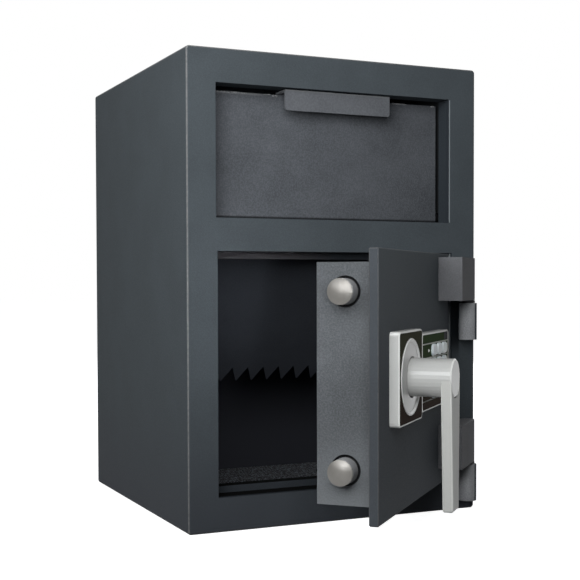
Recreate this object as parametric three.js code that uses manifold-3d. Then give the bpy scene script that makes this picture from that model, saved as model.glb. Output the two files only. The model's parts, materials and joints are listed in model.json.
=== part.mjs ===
// A free-standing deposit safe with a tilt-out hopper above a hinged door.
// Millimetres, +Z up. The origin is the middle of the base, and the front faces -Y.
// Inside the groups below, x is measured from the middle, y from the front face and z from the base.
import * as THREE from "three";
import { mergeVertices } from "three/addons/utils/BufferGeometryUtils.js";
import Module from "manifold-3d";

// Body
const BODY_WIDTH = 353;
const BODY_DEPTH = 353;
const BODY_HEIGHT = 508;
const WALL = 5; // sides, top and bottom
const FRONT_PLATE = 6; // front face
const EDGE_RADIUS = 2.4; // edges round the front face
const FOLD_RADIUS = 4; // long edges
const REAR_PLATE = 5;
const REAR_INSET = 2; // the rear plate sits this far inside the rim
const SEAT = 0.3; // clearance between pieces that touch
const ANCHOR_RADIUS = 6.5;
const ANCHOR_FROM_SIDE = 62; // anchor holes in the base, to the outer side faces
const ANCHOR_FROM_FRONT = 80;
const ANCHOR_FROM_REAR = 80;
const MAT_THICKNESS = 2.4;
const MAT_MARGIN = 1;
const MAT_CUTOUT = 4; // the mat's holes are this much larger in radius than the anchor holes

// Front openings
const DOOR_STILE_LEFT = 33.9;
const DOOR_STILE_RIGHT = 31.3;
const BOTTOM_RAIL = 36.8;
const CROSS_RAIL = 35;
const HOPPER_HEIGHT = 140.4; // opening of the deposit hopper
const TOP_RAIL = 36.1;
const HOPPER_STILE_LEFT = 32.4;
const HOPPER_STILE_RIGHT = 35.3;
const FRAME_WALL = 3; // sleeves behind the front plate
const HOPPER_REVEAL = 22;
const STOP_FACE = 25.5; // door stops behind the front face
const RAIL_STOP_LIP = 7.5; // above and below the door
const RAIL_STOP_DEPTH = 16;
const SIDE_STOP_LIP = 5; // beside the door, narrow enough for the drawn bolts to swing past
const SIDE_STOP_DEPTH = 8;

// Door
const OPEN_ANGLE = 44.6; // degrees the door stands open
const DOOR_RECESS = 7.5; // outer face of the closed door behind the front face
const DOOR_THICKNESS = 9.2;
const DOOR_GAP_LATCH = 1.8;
const DOOR_GAP_HINGE = 1.2;
const DOOR_GAP_TOP = 1.6;
const DOOR_GAP_BOTTOM = 2.4;
const DOOR_BEVEL = 0.8;

// Hinges
const HINGE_BESIDE = 14.8; // pin axis beyond the opening's edge
const HINGE_PROUD = 11.5; // pin axis in front of the front face
const BLOCK_HEIGHT = 47.8;
const BLOCK_THICKNESS = 26.8;
const BLOCK_REACH = 51; // over the door
const BLOCK_BELOW_TOP = 4.2;
const BLOCK_ABOVE_BOTTOM = 18.6;
const BLOCK_CLEAR = 1; // between the block's tail and the front face
const BLOCK_TAIL_REACH = 0.5; // centre of the tail's round end beyond the pin axis
const BLOCK_STEP_IN = 1; // the block's root is this far inside the door's edge
const KNUCKLE_RADIUS = 10.1;
const KNUCKLE_HEIGHT = 41.8;
const KNUCKLE_WEB = 5; // half the width of its foot on the front face
const HINGE_WASHER = 2.9;
const WASHER_RADIUS = 8;
const PIN_RADIUS = 4;
const PIN_CLEARANCE = 0.1;
const PIN_IN_KNUCKLE = 30;
const PIN_IN_BLOCK = 38;
const BORE_END = 0.5; // a blind bore is this much deeper than its pin

// Deposit hopper
const PANEL_FACE = 25.5; // front of the panel behind the front face
const PANEL_THICKNESS = 2.8;
const PANEL_GAP_SIDE = 2.2;
const PANEL_GAP_TOP = 4.2;
const PANEL_GAP_BOTTOM = 1.7;
const SHEET = 2.5; // cheeks, dump floor, chute and baffle
const CHEEK_INSET = 2.1; // cheeks inside the panel's ends
const CHEEK_RADIUS = 115;
const CHEEK_HORN = 17.4; // top of the cheek behind the panel
const CHEEK_HORN_DROP = 3.7; // below the panel's top
const CHEEK_HORN_ANGLE = 78;
const PIVOT_BEHIND = 7.5; // pivot axis behind the panel's face
const PIVOT_ABOVE = 6.5; // and above the hopper's sill
const PIVOT_TO_FLOOR = 8.5; // pivot axis above the dump floor's underside
const DUMP_ANGLE = 25; // the floor falls away to the rear when the hopper is shut
const TILT_ANGLE = 50;
const FLOOR_UPSTAND = 22;
const STUD_RADIUS = 4;
const STUD_SHOULDER = 8;
const STUD_HEAD = 4;
const STOP_RADIUS = 90; // stop studs from the pivot
const STOP_ANGLE = 58;
const SLOT_CLEARANCE = 0.6;
const SLOT_OVERRUN = 1.2; // degrees at each end of the stop slot
const LIP_WIDTH = 128.4;
const LIP_OFFSET = 4; // from the panel's middle
const LIP_PROUD = 19.5; // front of the pull from the panel's face
const LIP_DROP = 22.3;
const LIP_SHEET = 2.9;
const LIP_TAIL = 20.4; // flange behind the panel
const LIP_CORNER = 3;

// Chute and anti-fishing edge
const CHUTE_CLEAR = 3; // the chute bends down this far behind the shut door's bolt box
const CHUTE_ANGLE = 49.4;
const CHUTE_LENGTH = 210.2; // down the slope
const TOOTH_PITCH = 20.96;
const TOOTH_LENGTH = 23.2;
const TOOTH_COUNT = 16; // the two end ones run out to the plain sides
const TOOTH_TIP = 1.2; // flat left on each tip
const TEETH_OFFSET = -3.6; // middle of the row from the middle of the body
const SIDE_LENGTH = 150; // hopper side plates end this far behind the front face
const SIDE_SHEET = 3;
const BAFFLE_LIP_ANGLE = 22; // the baffle's lower edge, seen from the pivot
const BAFFLE_CLEAR = 2.6;
const BAFFLE_BEND = 20;

// Bolt work
const BOX_SETBACK = 29.3; // box inside the door's latch edge
const BOX_TO_HINGE = 24; // box inside the door's hinge edge
const BOX_DEPTH = 60.3; // measured from the door's inner face
const BOX_FROM_TOP = 12.3;
const BOX_FROM_BOTTOM = 12.2;
const BOX_SHEET = 2;
const BOLT_RADIUS = 12.5;
const BOLT_CLEARANCE = 0.2;
const BOLT_HOLE_RADIUS = 14.9;
const BOLT_DOME = 3; // shallow rounded end in front of the rim
const BOLT_LAND = 1.2; // full diameter between the rim and the groove
const BOLT_GROOVE = 2;
const BOLT_GROOVE_DEPTH = 0.8;
const BOLT_PROUD = 17.5; // rims of the drawn bolts beyond the box
const BOLT_THROW = 24;
const BOLT_BEHIND = 31.7; // bolt axis behind the door's inner face
const BOLT_FROM_TOP = 40.1;
const BOLT_FROM_BOTTOM = 45.9;
const GUIDE_THICKNESS = 9;
const GUIDE_WALL = 4.5;
const GUIDE_BEHIND_WALL = 0.5;
const CARRIAGE_THICKNESS = 8;
const CARRIAGE_BAR = 14;
const CARRIAGE_ARM = 24;
const CARRIAGE_CORNER = 1;
const CARRIAGE_END = 10; // bar beyond each bolt's axis, and arm beyond its last hole
const CARRIAGE_CLEAR = 1; // thrown carriage to the guides

// Handle
const HANDLE_FROM_LATCH = 78.1; // spindle axis inside the door's latch edge
const HANDLE_HEIGHT = 132.2; // and above the door's bottom edge
const HANDLE_TURN = 60;
const HUB_RADIUS = 18.8;
const HUB_LENGTH = 43.9; // out from the lock's face
const HUB_ROOT = 6.6; // into the lock's face
const HUB_CHAMFER = 1.2;
const BLADE_LENGTH = 128.2; // tip below the spindle axis
const BLADE_ROOT = 1.7; // its shoulders below the spindle axis
const BLADE_TOP_OFFSET = 0.2; // middle of the shoulders beside the spindle axis
const BLADE_TIP_OFFSET = 2.5;
const BLADE_THICKNESS = 10.3;
const BLADE_TOP_WIDTH = 38.6;
const BLADE_TIP_WIDTH = 26.3;
const BLADE_CORNER = 1.6;
const BLADE_EDGE = 1.2;
const SPINDLE_RADIUS = 7;
const SPINDLE_CLEARANCE = 0.5;
const SPINDLE_IN_HUB = 24;
const CAM_BEHIND = 13.2; // cam's front behind the door's inner face
const CAM_THICKNESS = 6;
const CRANK_RADIUS = 4;
const CRANK_CLEARANCE = 0.6;
const CRANK_PAST = 1; // crank pin beyond the carriage
const CAM_RIM = 5; // disc outside the crank pin

// Lock
const LOCK_THICKNESS = 10.1;
const PLATE_LEFT = 42.7; // handle end of the lock, from the spindle axis
const PLATE_RIGHT = 45.4;
const PLATE_HALF_HEIGHT = 45.3;
const PAD_WIDTH = 118.1; // keypad end of the lock
const PAD_HALF_HEIGHT = 40;
const LOCK_CORNER = 5;
const LOCK_EDGE = 1;
const LOCK_RIM = 1.7; // bare rim round each inlay
const INLAY = 0.8;
const INLAY_CORNER = 3.3;
const ROSE_RADIUS = 37.6;
const ROSE_INNER = 20.3;
const ROSE_SEAT = 3.4;
const ROSE_RISE = 1;
const ROSE_RIM = 1.6;
const ROSE_EDGE = 0.5;
const ROSE_GROOVE = 0.6; // depth inside the rim, below the lock's face
const ROSE_COLLAR = 1.2; // its inner edge above the lock's face
const KEY_PITCH_X = 22.8;
const KEY_PITCH_Z = 14.6;
const KEY_WIDTH = 19.8;
const KEY_HEIGHT = 12.4;
const KEY_CORNER = 5;
const KEY_PROUD = 2.4;
const KEY_LENGTH = 7.2;
const KEY_TRAVEL = 1.2;
const KEY_CLEARANCE = 0.35;
const KEYS_FROM_PLATE = 34.9; // first column's left side from the handle end
const TOP_STRIP = 11.2; // above the first row
const LAMP_RADIUS = 1.7;
const LAMP_LENGTH = 4;
const LAMP_TO_KEYS = 8.5;
const BLOCKER_BESIDE = 44.7; // blocking pin beside the spindle
const BLOCKER_RADIUS = 4;
const BLOCKER_CLEARANCE = 0.6;
const BLOCKER_LENGTH = 18.2;
const BLOCKER_SHY = 0.5; // drawn tip short of the carriage
const CASE_WIDTH = 60;
const CASE_HEIGHT = 52;
const CASE_INSET = 10; // blocking pin inside the case's side
const CASE_CLEAR = 4; // case to carriage

const ROUND = 32; // facets of a full turn
const CORNER = 4; // facets of a rounded corner
const DOME_STEPS = 6;
const CUT = 1; // cutters run past a face by this much
const wasm = await Module();
wasm.setup();

// Solids for cutting and joining
function solid(geometry) {
  const bare = new THREE.BufferGeometry();
  bare.setAttribute("position", geometry.getAttribute("position"));
  if (geometry.index) bare.setIndex(geometry.index);
  const merged = mergeVertices(bare, 1e-4);
  const vertProperties = merged.getAttribute("position").array;
  const triVerts = new Uint32Array(merged.index.array);
  return new wasm.Manifold(new wasm.Mesh({ numProp: 3, vertProperties, triVerts }));
}

function geometryOf(shape) {
  const made = shape.getMesh();
  const geometry = new THREE.BufferGeometry();
  geometry.setAttribute("position", new THREE.BufferAttribute(made.vertProperties, 3));
  geometry.setIndex(new THREE.BufferAttribute(made.triVerts, 1));
  geometry.computeVertexNormals();
  return geometry;
}

function block([x0, x1], [y0, y1], [z0, z1]) {
  const geometry = new THREE.BoxGeometry(x1 - x0, y1 - y0, z1 - z0);
  return solid(geometry.translate((x0 + x1) / 2, (y0 + y1) / 2, (z0 + z1) / 2));
}

// An outline drawn in the plane across the axis, (y, z), (x, z) or (x, y), and carried along it.
function extrudeAlong(axis, shape, from, to, bevel = 0, bevelSegments = 1, facets = CORNER) {
  const settings = { depth: to - from, bevelEnabled: false, curveSegments: facets };
  if (bevel > 0) {
    settings.depth = to - from - 2 * bevel;
    settings.bevelEnabled = true;
    settings.bevelSize = bevel;
    settings.bevelThickness = bevel;
    settings.bevelOffset = -bevel;
    settings.bevelSegments = bevelSegments;
  }
  const geometry = new THREE.ExtrudeGeometry(shape, settings);
  if (axis === "x") {
    const turn = new THREE.Matrix4();
    turn.makeBasis(new THREE.Vector3(0, 1, 0), new THREE.Vector3(0, 0, 1), new THREE.Vector3(1, 0, 0));
    return solid(geometry.applyMatrix4(turn).translate(from + bevel, 0, 0));
  }
  if (axis === "y") return solid(geometry.rotateX(Math.PI / 2).translate(0, to - bevel, 0));
  return solid(geometry.translate(0, 0, from + bevel));
}

// A plate in the x-z plane whose front edges are bevelled and whose back is square.
function bevelledPlate(shape, front, back, bevel) {
  const whole = extrudeAlong("y", shape, front, back + 2 * bevel, bevel);
  const behind = block([-BODY_WIDTH, BODY_WIDTH], [back, back + 3 * bevel], [0, BODY_HEIGHT]);
  return whole.subtract(behind);
}

function outline(points) {
  return new THREE.Shape(points.map(([a, b]) => new THREE.Vector2(a, b)));
}

function roundedRectangle([a0, a1], [b0, b1], radius) {
  const shape = new THREE.Shape();
  shape.moveTo(a0 + radius, b0);
  shape.lineTo(a1 - radius, b0);
  shape.absarc(a1 - radius, b0 + radius, radius, -Math.PI / 2, 0);
  shape.lineTo(a1, b1 - radius);
  shape.absarc(a1 - radius, b1 - radius, radius, 0, Math.PI / 2);
  shape.lineTo(a0 + radius, b1);
  shape.absarc(a0 + radius, b1 - radius, radius, Math.PI / 2, Math.PI);
  shape.lineTo(a0, b0 + radius);
  shape.absarc(a0 + radius, b0 + radius, radius, Math.PI, 1.5 * Math.PI);
  return shape;
}

// A body turned about an axis: profile is [distance along the axis, radius], closed onto the axis.
function turned(axis, [a, b], profile) {
  const points = profile.map(([along, radius]) => new THREE.Vector2(radius, along));
  const geometry = new THREE.LatheGeometry(points, ROUND);
  if (axis === "x") return solid(geometry.rotateZ(-Math.PI / 2).translate(0, a, b));
  if (axis === "y") return solid(geometry.translate(a, 0, b));
  return solid(geometry.rotateX(Math.PI / 2).translate(a, b, 0));
}

function rod(axis, centre, radius, from, to) {
  return turned(axis, centre, [[from, 0], [from, radius], [to, radius], [to, 0]]);
}

function radians(degrees) {
  return THREE.MathUtils.degToRad(degrees);
}

// Materials
function finish(color, roughness, metalness) {
  return () => new THREE.MeshStandardMaterial({ color, roughness, metalness });
}
const bodyPaint = finish(0x41474b, 0.55, 0.2);
const hopperPaint = finish(0x4a5054, 0.55, 0.2);
const innerPaint = finish(0x2c3034, 0.6, 0.2);
const boxPaint = finish(0x5c6064, 0.6, 0.2);
const brightSteel = finish(0xb8b6b2, 0.3, 1);
const plainSteel = finish(0x8b8d90, 0.4, 1);
const castGrey = finish(0xb4b4b2, 0.45, 0.3);
const inlayGreen = finish(0x202a1c, 0.4, 0);
const keyWhite = finish(0xc9d2d3, 0.35, 0);
const lampClear = finish(0xd9d9d0, 0.2, 0);
const caseBlack = finish(0x1c1d1f, 0.5, 0);
const carpetGrey = finish(0x3a3a3a, 0.95, 0);

const safe = new THREE.Group();
safe.position.set(0, -BODY_DEPTH / 2, 0);

function add(parent, name, shape, material) {
  const mesh = new THREE.Mesh(geometryOf(shape), material());
  mesh.name = name;
  parent.add(mesh);
}

// Places shared by the pieces
const left = -BODY_WIDTH / 2;
const right = BODY_WIDTH / 2;
const innerSide = BODY_WIDTH / 2 - WALL;
const roof = BODY_HEIGHT - WALL;
const rearFace = BODY_DEPTH - REAR_INSET - REAR_PLATE; // inside of the rear plate
const hopper = {
  x: [left + HOPPER_STILE_LEFT, right - HOPPER_STILE_RIGHT],
  z: [BODY_HEIGHT - TOP_RAIL - HOPPER_HEIGHT, BODY_HEIGHT - TOP_RAIL],
};
const doorway = {
  x: [left + DOOR_STILE_LEFT, right - DOOR_STILE_RIGHT],
  z: [BOTTOM_RAIL, hopper.z[0] - CROSS_RAIL],
};
const grow = ([low, high], by) => [low - by, high + by];
const between = (a, b) => [Math.min(a, b), Math.max(a, b)];

// Body shell: the folded sides, top and bottom with the front plate
function bodyShell() {
  const shape = roundedRectangle([left, right], [0, BODY_HEIGHT], FOLD_RADIUS);
  const outer = extrudeAlong("y", shape, 0, BODY_DEPTH + 2 * EDGE_RADIUS, EDGE_RADIUS, CORNER);
  const past = BODY_DEPTH + 3 * EDGE_RADIUS;
  const behind = block(grow([left, right], CUT), [BODY_DEPTH, past], grow([0, BODY_HEIGHT], CUT));
  let shell = outer.subtract(behind);
  shell = shell.subtract(block([-innerSide, innerSide], [FRONT_PLATE, past], [WALL, roof]));
  const through = grow([0, FRONT_PLATE], CUT);
  shell = shell.subtract(block(doorway.x, through, doorway.z));
  shell = shell.subtract(block(hopper.x, through, hopper.z));
  for (const [x, y] of anchorPlaces()) {
    shell = shell.subtract(rod("z", [x, y], ANCHOR_RADIUS, ...grow([0, WALL], CUT)));
  }
  return shell;
}

function anchorPlaces() {
  const x = BODY_WIDTH / 2 - ANCHOR_FROM_SIDE;
  const y = [ANCHOR_FROM_FRONT, BODY_DEPTH - ANCHOR_FROM_REAR];
  return [[-x, y[0]], [x, y[0]], [-x, y[1]], [x, y[1]]];
}

function rearPanel() {
  const x = grow([-innerSide, innerSide], -SEAT);
  return block(x, [rearFace, rearFace + REAR_PLATE], grow([WALL, roof], -SEAT));
}

function floorMat() {
  const x = grow([-innerSide, innerSide], -MAT_MARGIN);
  const y = grow([FRONT_PLATE, rearFace], -MAT_MARGIN);
  const z = [WALL + SEAT, WALL + SEAT + MAT_THICKNESS];
  let mat = block(x, y, z);
  for (const place of anchorPlaces()) {
    mat = mat.subtract(rod("z", place, ANCHOR_RADIUS + MAT_CUTOUT, ...grow(z, CUT)));
  }
  return mat;
}

// Sleeves behind the front plate: one carries the door's stops, the other lines the hopper opening
const doorInner = DOOR_RECESS + DOOR_THICKNESS;
const sideStop = [STOP_FACE, STOP_FACE + SIDE_STOP_DEPTH];
const railStop = [STOP_FACE, STOP_FACE + RAIL_STOP_DEPTH];
const sleeveFront = FRONT_PLATE + SEAT;
const jambTop = doorway.z[1] + FRAME_WALL;

function doorJamb() {
  const x = grow(doorway.x, FRAME_WALL);
  const z = grow(doorway.z, FRAME_WALL);
  let jamb = block(x, [sleeveFront, sideStop[1]], z);
  jamb = jamb.subtract(block(doorway.x, [0, BODY_DEPTH], doorway.z));
  jamb = jamb.add(block(x, railStop, [z[0], doorway.z[0] + RAIL_STOP_LIP]));
  jamb = jamb.add(block(x, railStop, [doorway.z[1] - RAIL_STOP_LIP, z[1]]));
  jamb = jamb.add(block([x[0], doorway.x[0] + SIDE_STOP_LIP], sideStop, z));
  return jamb.add(block([doorway.x[1] - SIDE_STOP_LIP, x[1]], sideStop, z));
}

function hopperSurround() {
  const sleeve = block(grow(hopper.x, FRAME_WALL), [sleeveFront, HOPPER_REVEAL], grow(hopper.z, FRAME_WALL));
  return sleeve.subtract(block(hopper.x, [0, BODY_DEPTH], hopper.z));
}

// Chute: a sheet that falls from the door's top rail to a row of teeth
const chuteBend = { y: doorInner + BOX_DEPTH + CHUTE_CLEAR, z: jambTop + SEAT };
const chuteDown = new THREE.Vector2(Math.cos(radians(CHUTE_ANGLE)), -Math.sin(radians(CHUTE_ANGLE)));
const chuteUp = new THREE.Vector2(-chuteDown.y, chuteDown.x);
const chuteBendAbove = chuteBend.y + SHEET * Math.tan(radians(CHUTE_ANGLE / 2));

function onChute(along, above) {
  const y = chuteBend.y + along * chuteDown.x + above * chuteUp.x;
  return [y, chuteBend.z + along * chuteDown.y + above * chuteUp.y];
}

function chutePlate() {
  const section = outline([
    [railStop[0], chuteBend.z],
    [chuteBend.y, chuteBend.z],
    onChute(CHUTE_LENGTH, 0),
    onChute(CHUTE_LENGTH, SHEET),
    [chuteBendAbove, chuteBend.z + SHEET],
    [railStop[0], chuteBend.z + SHEET],
  ]);
  const halfWidth = innerSide - SEAT;
  let plate = extrudeAlong("x", section, -halfWidth, halfWidth);
  const half = TOOTH_PITCH / 2;
  for (let i = 1; i < TOOTH_COUNT; i += 1) {
    const root = TEETH_OFFSET + (i - TOOTH_COUNT / 2) * TOOTH_PITCH;
    plate = plate.subtract(toothGap(root, half - TOOTH_TIP / 2));
  }
  return plate;
}

// A wedge cut square through the chute's lower edge, its point up the slope.
function toothGap(root, half) {
  const spread = half * (1 + CUT / TOOTH_LENGTH);
  const wedge = outline([[root, -TOOTH_LENGTH], [root - spread, CUT], [root + spread, CUT]]);
  const cut = new THREE.ExtrudeGeometry(wedge, { depth: 3 * SHEET, bevelEnabled: false });
  const slope = new THREE.Matrix4();
  slope.makeBasis(
    new THREE.Vector3(1, 0, 0),
    new THREE.Vector3(0, chuteDown.x, chuteDown.y),
    new THREE.Vector3(0, chuteUp.x, chuteUp.y),
  );
  slope.setPosition(0, ...onChute(CHUTE_LENGTH, -SHEET));
  return solid(cut.applyMatrix4(slope));
}

// Hopper side plates: they stand on the chute and carry the pivot and stop studs
const hopperMiddle = (hopper.x[0] + hopper.x[1]) / 2;
const sideInner = (hopper.x[1] - hopper.x[0]) / 2 + FRAME_WALL + SEAT;
const panelHalf = (hopper.x[1] - hopper.x[0]) / 2 - PANEL_GAP_SIDE;
const cheekOuter = panelHalf - CHEEK_INSET;
const cheekInner = cheekOuter - SHEET;
const pivot = { y: PANEL_FACE + PIVOT_BEHIND, z: hopper.z[0] + PIVOT_ABOVE };
const panelTop = hopper.z[1] - PANEL_GAP_TOP;
const panelBottom = hopper.z[0] + PANEL_GAP_BOTTOM;
const panelBack = PANEL_FACE + PANEL_THICKNESS + SEAT;

function aroundPivot(radius, degrees) {
  return [pivot.y + radius * Math.cos(radians(degrees)), pivot.z + radius * Math.sin(radians(degrees))];
}

const stopStud = aroundPivot(STOP_RADIUS, STOP_ANGLE);

function sidePlate(side) {
  const run = (SIDE_LENGTH - onChute(0, SHEET + SEAT)[0]) / chuteDown.x;
  const foot = chuteBend.z + SHEET + SEAT;
  const section = outline([
    [sleeveFront, foot],
    [chuteBendAbove, foot],
    onChute(run, SHEET + SEAT),
    [SIDE_LENGTH, roof - SEAT],
    [sleeveFront, roof - SEAT],
  ]);
  const x = between(hopperMiddle + side * sideInner, hopperMiddle + side * (sideInner + SIDE_SHEET));
  let plate = extrudeAlong("x", section, x[0], x[1]);
  for (const centre of [[pivot.y, pivot.z], stopStud]) {
    plate = plate.subtract(rod("x", centre, STUD_RADIUS + PIN_CLEARANCE, ...grow(x, CUT)));
  }
  return plate;
}

// A shouldered stud through the side plate: its end carries the cheek, or runs in the cheek's slot.
function hopperStud(side, centre) {
  const stops = [
    [cheekInner, 0],
    [cheekInner, STUD_RADIUS],
    [panelHalf + SEAT, STUD_RADIUS],
    [panelHalf + SEAT, STUD_SHOULDER],
    [sideInner - SEAT, STUD_SHOULDER],
    [sideInner - SEAT, STUD_RADIUS],
    [sideInner + SIDE_SHEET + SEAT, STUD_RADIUS],
    [sideInner + SIDE_SHEET + SEAT, STUD_SHOULDER],
    [sideInner + SIDE_SHEET + SEAT + STUD_HEAD, STUD_SHOULDER],
    [sideInner + SIDE_SHEET + SEAT + STUD_HEAD, 0],
  ];
  const profile = stops.map(([along, radius]) => [hopperMiddle + side * along, radius]);
  return turned("x", centre, side > 0 ? profile : profile.reverse());
}

// Rear baffle: closes the top of the safe behind the tilted-out hopper
function rearBaffle() {
  const back = SIDE_LENGTH - SEAT;
  const front = back - SHEET;
  const lip = aroundPivot(CHEEK_RADIUS + BAFFLE_CLEAR, BAFFLE_LIP_ANGLE);
  const lipBack = [lip[0] + SHEET, lip[1] - SHEET / 3];
  const section = outline([
    [front, roof - SEAT],
    [front, lip[1] + BAFFLE_BEND],
    lip,
    lipBack,
    [back, lip[1] + BAFFLE_BEND - SHEET / 2],
    [back, roof - SEAT],
  ]);
  const half = sideInner - SEAT;
  return extrudeAlong("x", section, hopperMiddle - half, hopperMiddle + half);
}

// Hopper: panel, pull, cheeks and dump floor tilt as one
function floorLine(along, above) {
  const down = radians(DUMP_ANGLE);
  const offset = PIVOT_TO_FLOOR - above;
  const y = pivot.y - offset * Math.sin(down) + along * Math.cos(down);
  return [y, pivot.z - offset * Math.cos(down) - along * Math.sin(down)];
}
const floorReach = Math.sqrt(CHEEK_RADIUS ** 2 - PIVOT_TO_FLOOR ** 2);
const floorStart = (panelBack - floorLine(0, 0)[0]) / Math.cos(radians(DUMP_ANGLE));

function hopperFront() {
  const x = [hopperMiddle - panelHalf, hopperMiddle + panelHalf];
  return block(x, [PANEL_FACE, PANEL_FACE + PANEL_THICKNESS], [panelBottom, panelTop]);
}

function hopperPull() {
  const middle = hopperMiddle + LIP_OFFSET;
  const x = [middle - LIP_WIDTH / 2, middle + LIP_WIDTH / 2];
  const front = PANEL_FACE - LIP_PROUD;
  const top = panelTop + SEAT + LIP_SHEET;
  const behind = panelBack + LIP_SHEET;
  const hook = outline([
    [front, top - LIP_SHEET],
    [panelBack, top - LIP_SHEET],
    [panelBack, top - LIP_TAIL],
    [behind, top - LIP_TAIL],
    [behind, top],
    [front, top],
  ]);
  const face = new THREE.Shape();
  const bottom = top - LIP_DROP;
  face.moveTo(x[0] + LIP_CORNER, bottom);
  face.lineTo(x[1] - LIP_CORNER, bottom);
  face.absarc(x[1] - LIP_CORNER, bottom + LIP_CORNER, LIP_CORNER, -Math.PI / 2, 0);
  face.lineTo(x[1], top);
  face.lineTo(x[0], top);
  face.lineTo(x[0], bottom + LIP_CORNER);
  face.absarc(x[0] + LIP_CORNER, bottom + LIP_CORNER, LIP_CORNER, Math.PI, 1.5 * Math.PI);
  return extrudeAlong("x", hook, x[0], x[1]).add(extrudeAlong("y", face, front, front + LIP_SHEET));
}

function hopperCheek(side) {
  const shape = new THREE.Shape();
  const hornTop = panelTop - CHEEK_HORN_DROP;
  const end = floorLine(floorReach, 0);
  const endAngle = Math.atan2(end[1] - pivot.z, end[0] - pivot.y);
  shape.moveTo(...floorLine(floorStart, 0));
  shape.lineTo(...end);
  shape.absarc(pivot.y, pivot.z, CHEEK_RADIUS, endAngle, radians(CHEEK_HORN_ANGLE));
  shape.lineTo(panelBack + CHEEK_HORN, hornTop);
  shape.lineTo(panelBack, hornTop);
  shape.closePath();
  const x = between(hopperMiddle + side * cheekInner, hopperMiddle + side * cheekOuter);
  let cheek = extrudeAlong("x", shape, x[0], x[1]);
  cheek = cheek.subtract(rod("x", [pivot.y, pivot.z], STUD_RADIUS + PIN_CLEARANCE, ...grow(x, CUT)));
  return cheek.subtract(extrudeAlong("x", stopSlot(), ...grow(x, CUT)));
}

function stopSlot() {
  const half = STUD_RADIUS + SLOT_CLEARANCE;
  const ends = [STOP_ANGLE - TILT_ANGLE - SLOT_OVERRUN, STOP_ANGLE + SLOT_OVERRUN];
  const [low, high] = ends.map(radians);
  const slot = new THREE.Shape();
  slot.absarc(pivot.y, pivot.z, STOP_RADIUS + half, low, high);
  slot.absarc(...aroundPivot(STOP_RADIUS, ends[1]), half, high, high + Math.PI);
  slot.absarc(pivot.y, pivot.z, STOP_RADIUS - half, high, low, true);
  slot.absarc(...aroundPivot(STOP_RADIUS, ends[0]), half, low + Math.PI, low + 2 * Math.PI);
  return slot;
}

function hopperFloor() {
  const bend = (panelBack + SHEET - floorLine(0, SHEET)[0]) / Math.cos(radians(DUMP_ANGLE));
  const up = floorLine(bend, SHEET)[1] + FLOOR_UPSTAND;
  const section = outline([
    floorLine(floorStart, 0),
    floorLine(floorReach, 0),
    floorLine(floorReach, SHEET),
    floorLine(bend, SHEET),
    [panelBack + SHEET, up],
    [panelBack, up],
  ]);
  const half = cheekInner - SEAT;
  return extrudeAlong("x", section, hopperMiddle - half, hopperMiddle + half);
}

// Door: drawn shut, then swung about the hinge pins by its group
const hinge = { x: doorway.x[1] + HINGE_BESIDE, y: -HINGE_PROUD };
const door = {
  x: [doorway.x[0] + DOOR_GAP_LATCH, doorway.x[1] - DOOR_GAP_HINGE],
  z: [doorway.z[0] + DOOR_GAP_BOTTOM, doorway.z[1] - DOOR_GAP_TOP],
};
const spindle = [door.x[0] + HANDLE_FROM_LATCH, door.z[0] + HANDLE_HEIGHT];
const behindDoor = doorInner + SEAT;

function doorPlate() {
  const shape = roundedRectangle(door.x, door.z, 2 * DOOR_BEVEL);
  const plate = extrudeAlong("y", shape, DOOR_RECESS, doorInner, DOOR_BEVEL);
  return plate.subtract(rod("y", spindle, SPINDLE_RADIUS + SPINDLE_CLEARANCE, 0, 2 * doorInner));
}

// Hinge blocks on the door, knuckles on the body, a pin and a washer between each pair
const hingeGap = HINGE_WASHER + 2 * SEAT;
const blockFoot = {
  upper: door.z[1] - BLOCK_BELOW_TOP - BLOCK_HEIGHT,
  lower: door.z[0] + BLOCK_ABOVE_BOTTOM,
};

function hingeBlock(foot) {
  const front = DOOR_RECESS - BLOCK_THICKNESS;
  const tail = (-BLOCK_CLEAR - front) / 2;
  const centre = [hinge.x + BLOCK_TAIL_REACH, front + tail];
  const root = door.x[1] - BLOCK_STEP_IN;
  const shape = new THREE.Shape();
  shape.moveTo(door.x[1] - BLOCK_REACH, DOOR_RECESS - SEAT);
  shape.lineTo(door.x[1] - BLOCK_REACH, front);
  shape.lineTo(centre[0], front);
  shape.absarc(...centre, tail, -Math.PI / 2, Math.PI / 2);
  shape.lineTo(root, -BLOCK_CLEAR);
  shape.lineTo(root, DOOR_RECESS - SEAT);
  shape.closePath();
  const made = extrudeAlong("z", shape, foot, foot + BLOCK_HEIGHT);
  const bore = [foot - CUT, foot + PIN_IN_BLOCK + BORE_END];
  return made.subtract(rod("z", [hinge.x, hinge.y], PIN_RADIUS + PIN_CLEARANCE, ...bore));
}

function hingeKnuckle(foot) {
  const top = foot - hingeGap;
  const shape = new THREE.Shape();
  const web = Math.asin(KNUCKLE_WEB / KNUCKLE_RADIUS);
  shape.absarc(hinge.x, hinge.y, KNUCKLE_RADIUS, Math.PI / 2 + web, 2.5 * Math.PI - web);
  shape.lineTo(hinge.x + KNUCKLE_WEB, -SEAT);
  shape.lineTo(hinge.x - KNUCKLE_WEB, -SEAT);
  shape.closePath();
  const made = extrudeAlong("z", shape, top - KNUCKLE_HEIGHT, top, 0, 1, ROUND / 2);
  const bore = [top - PIN_IN_KNUCKLE - BORE_END, top + CUT];
  return made.subtract(rod("z", [hinge.x, hinge.y], PIN_RADIUS + PIN_CLEARANCE, ...bore));
}

function hingePin(foot) {
  return rod("z", [hinge.x, hinge.y], PIN_RADIUS, foot - hingeGap - PIN_IN_KNUCKLE, foot + PIN_IN_BLOCK);
}

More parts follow.
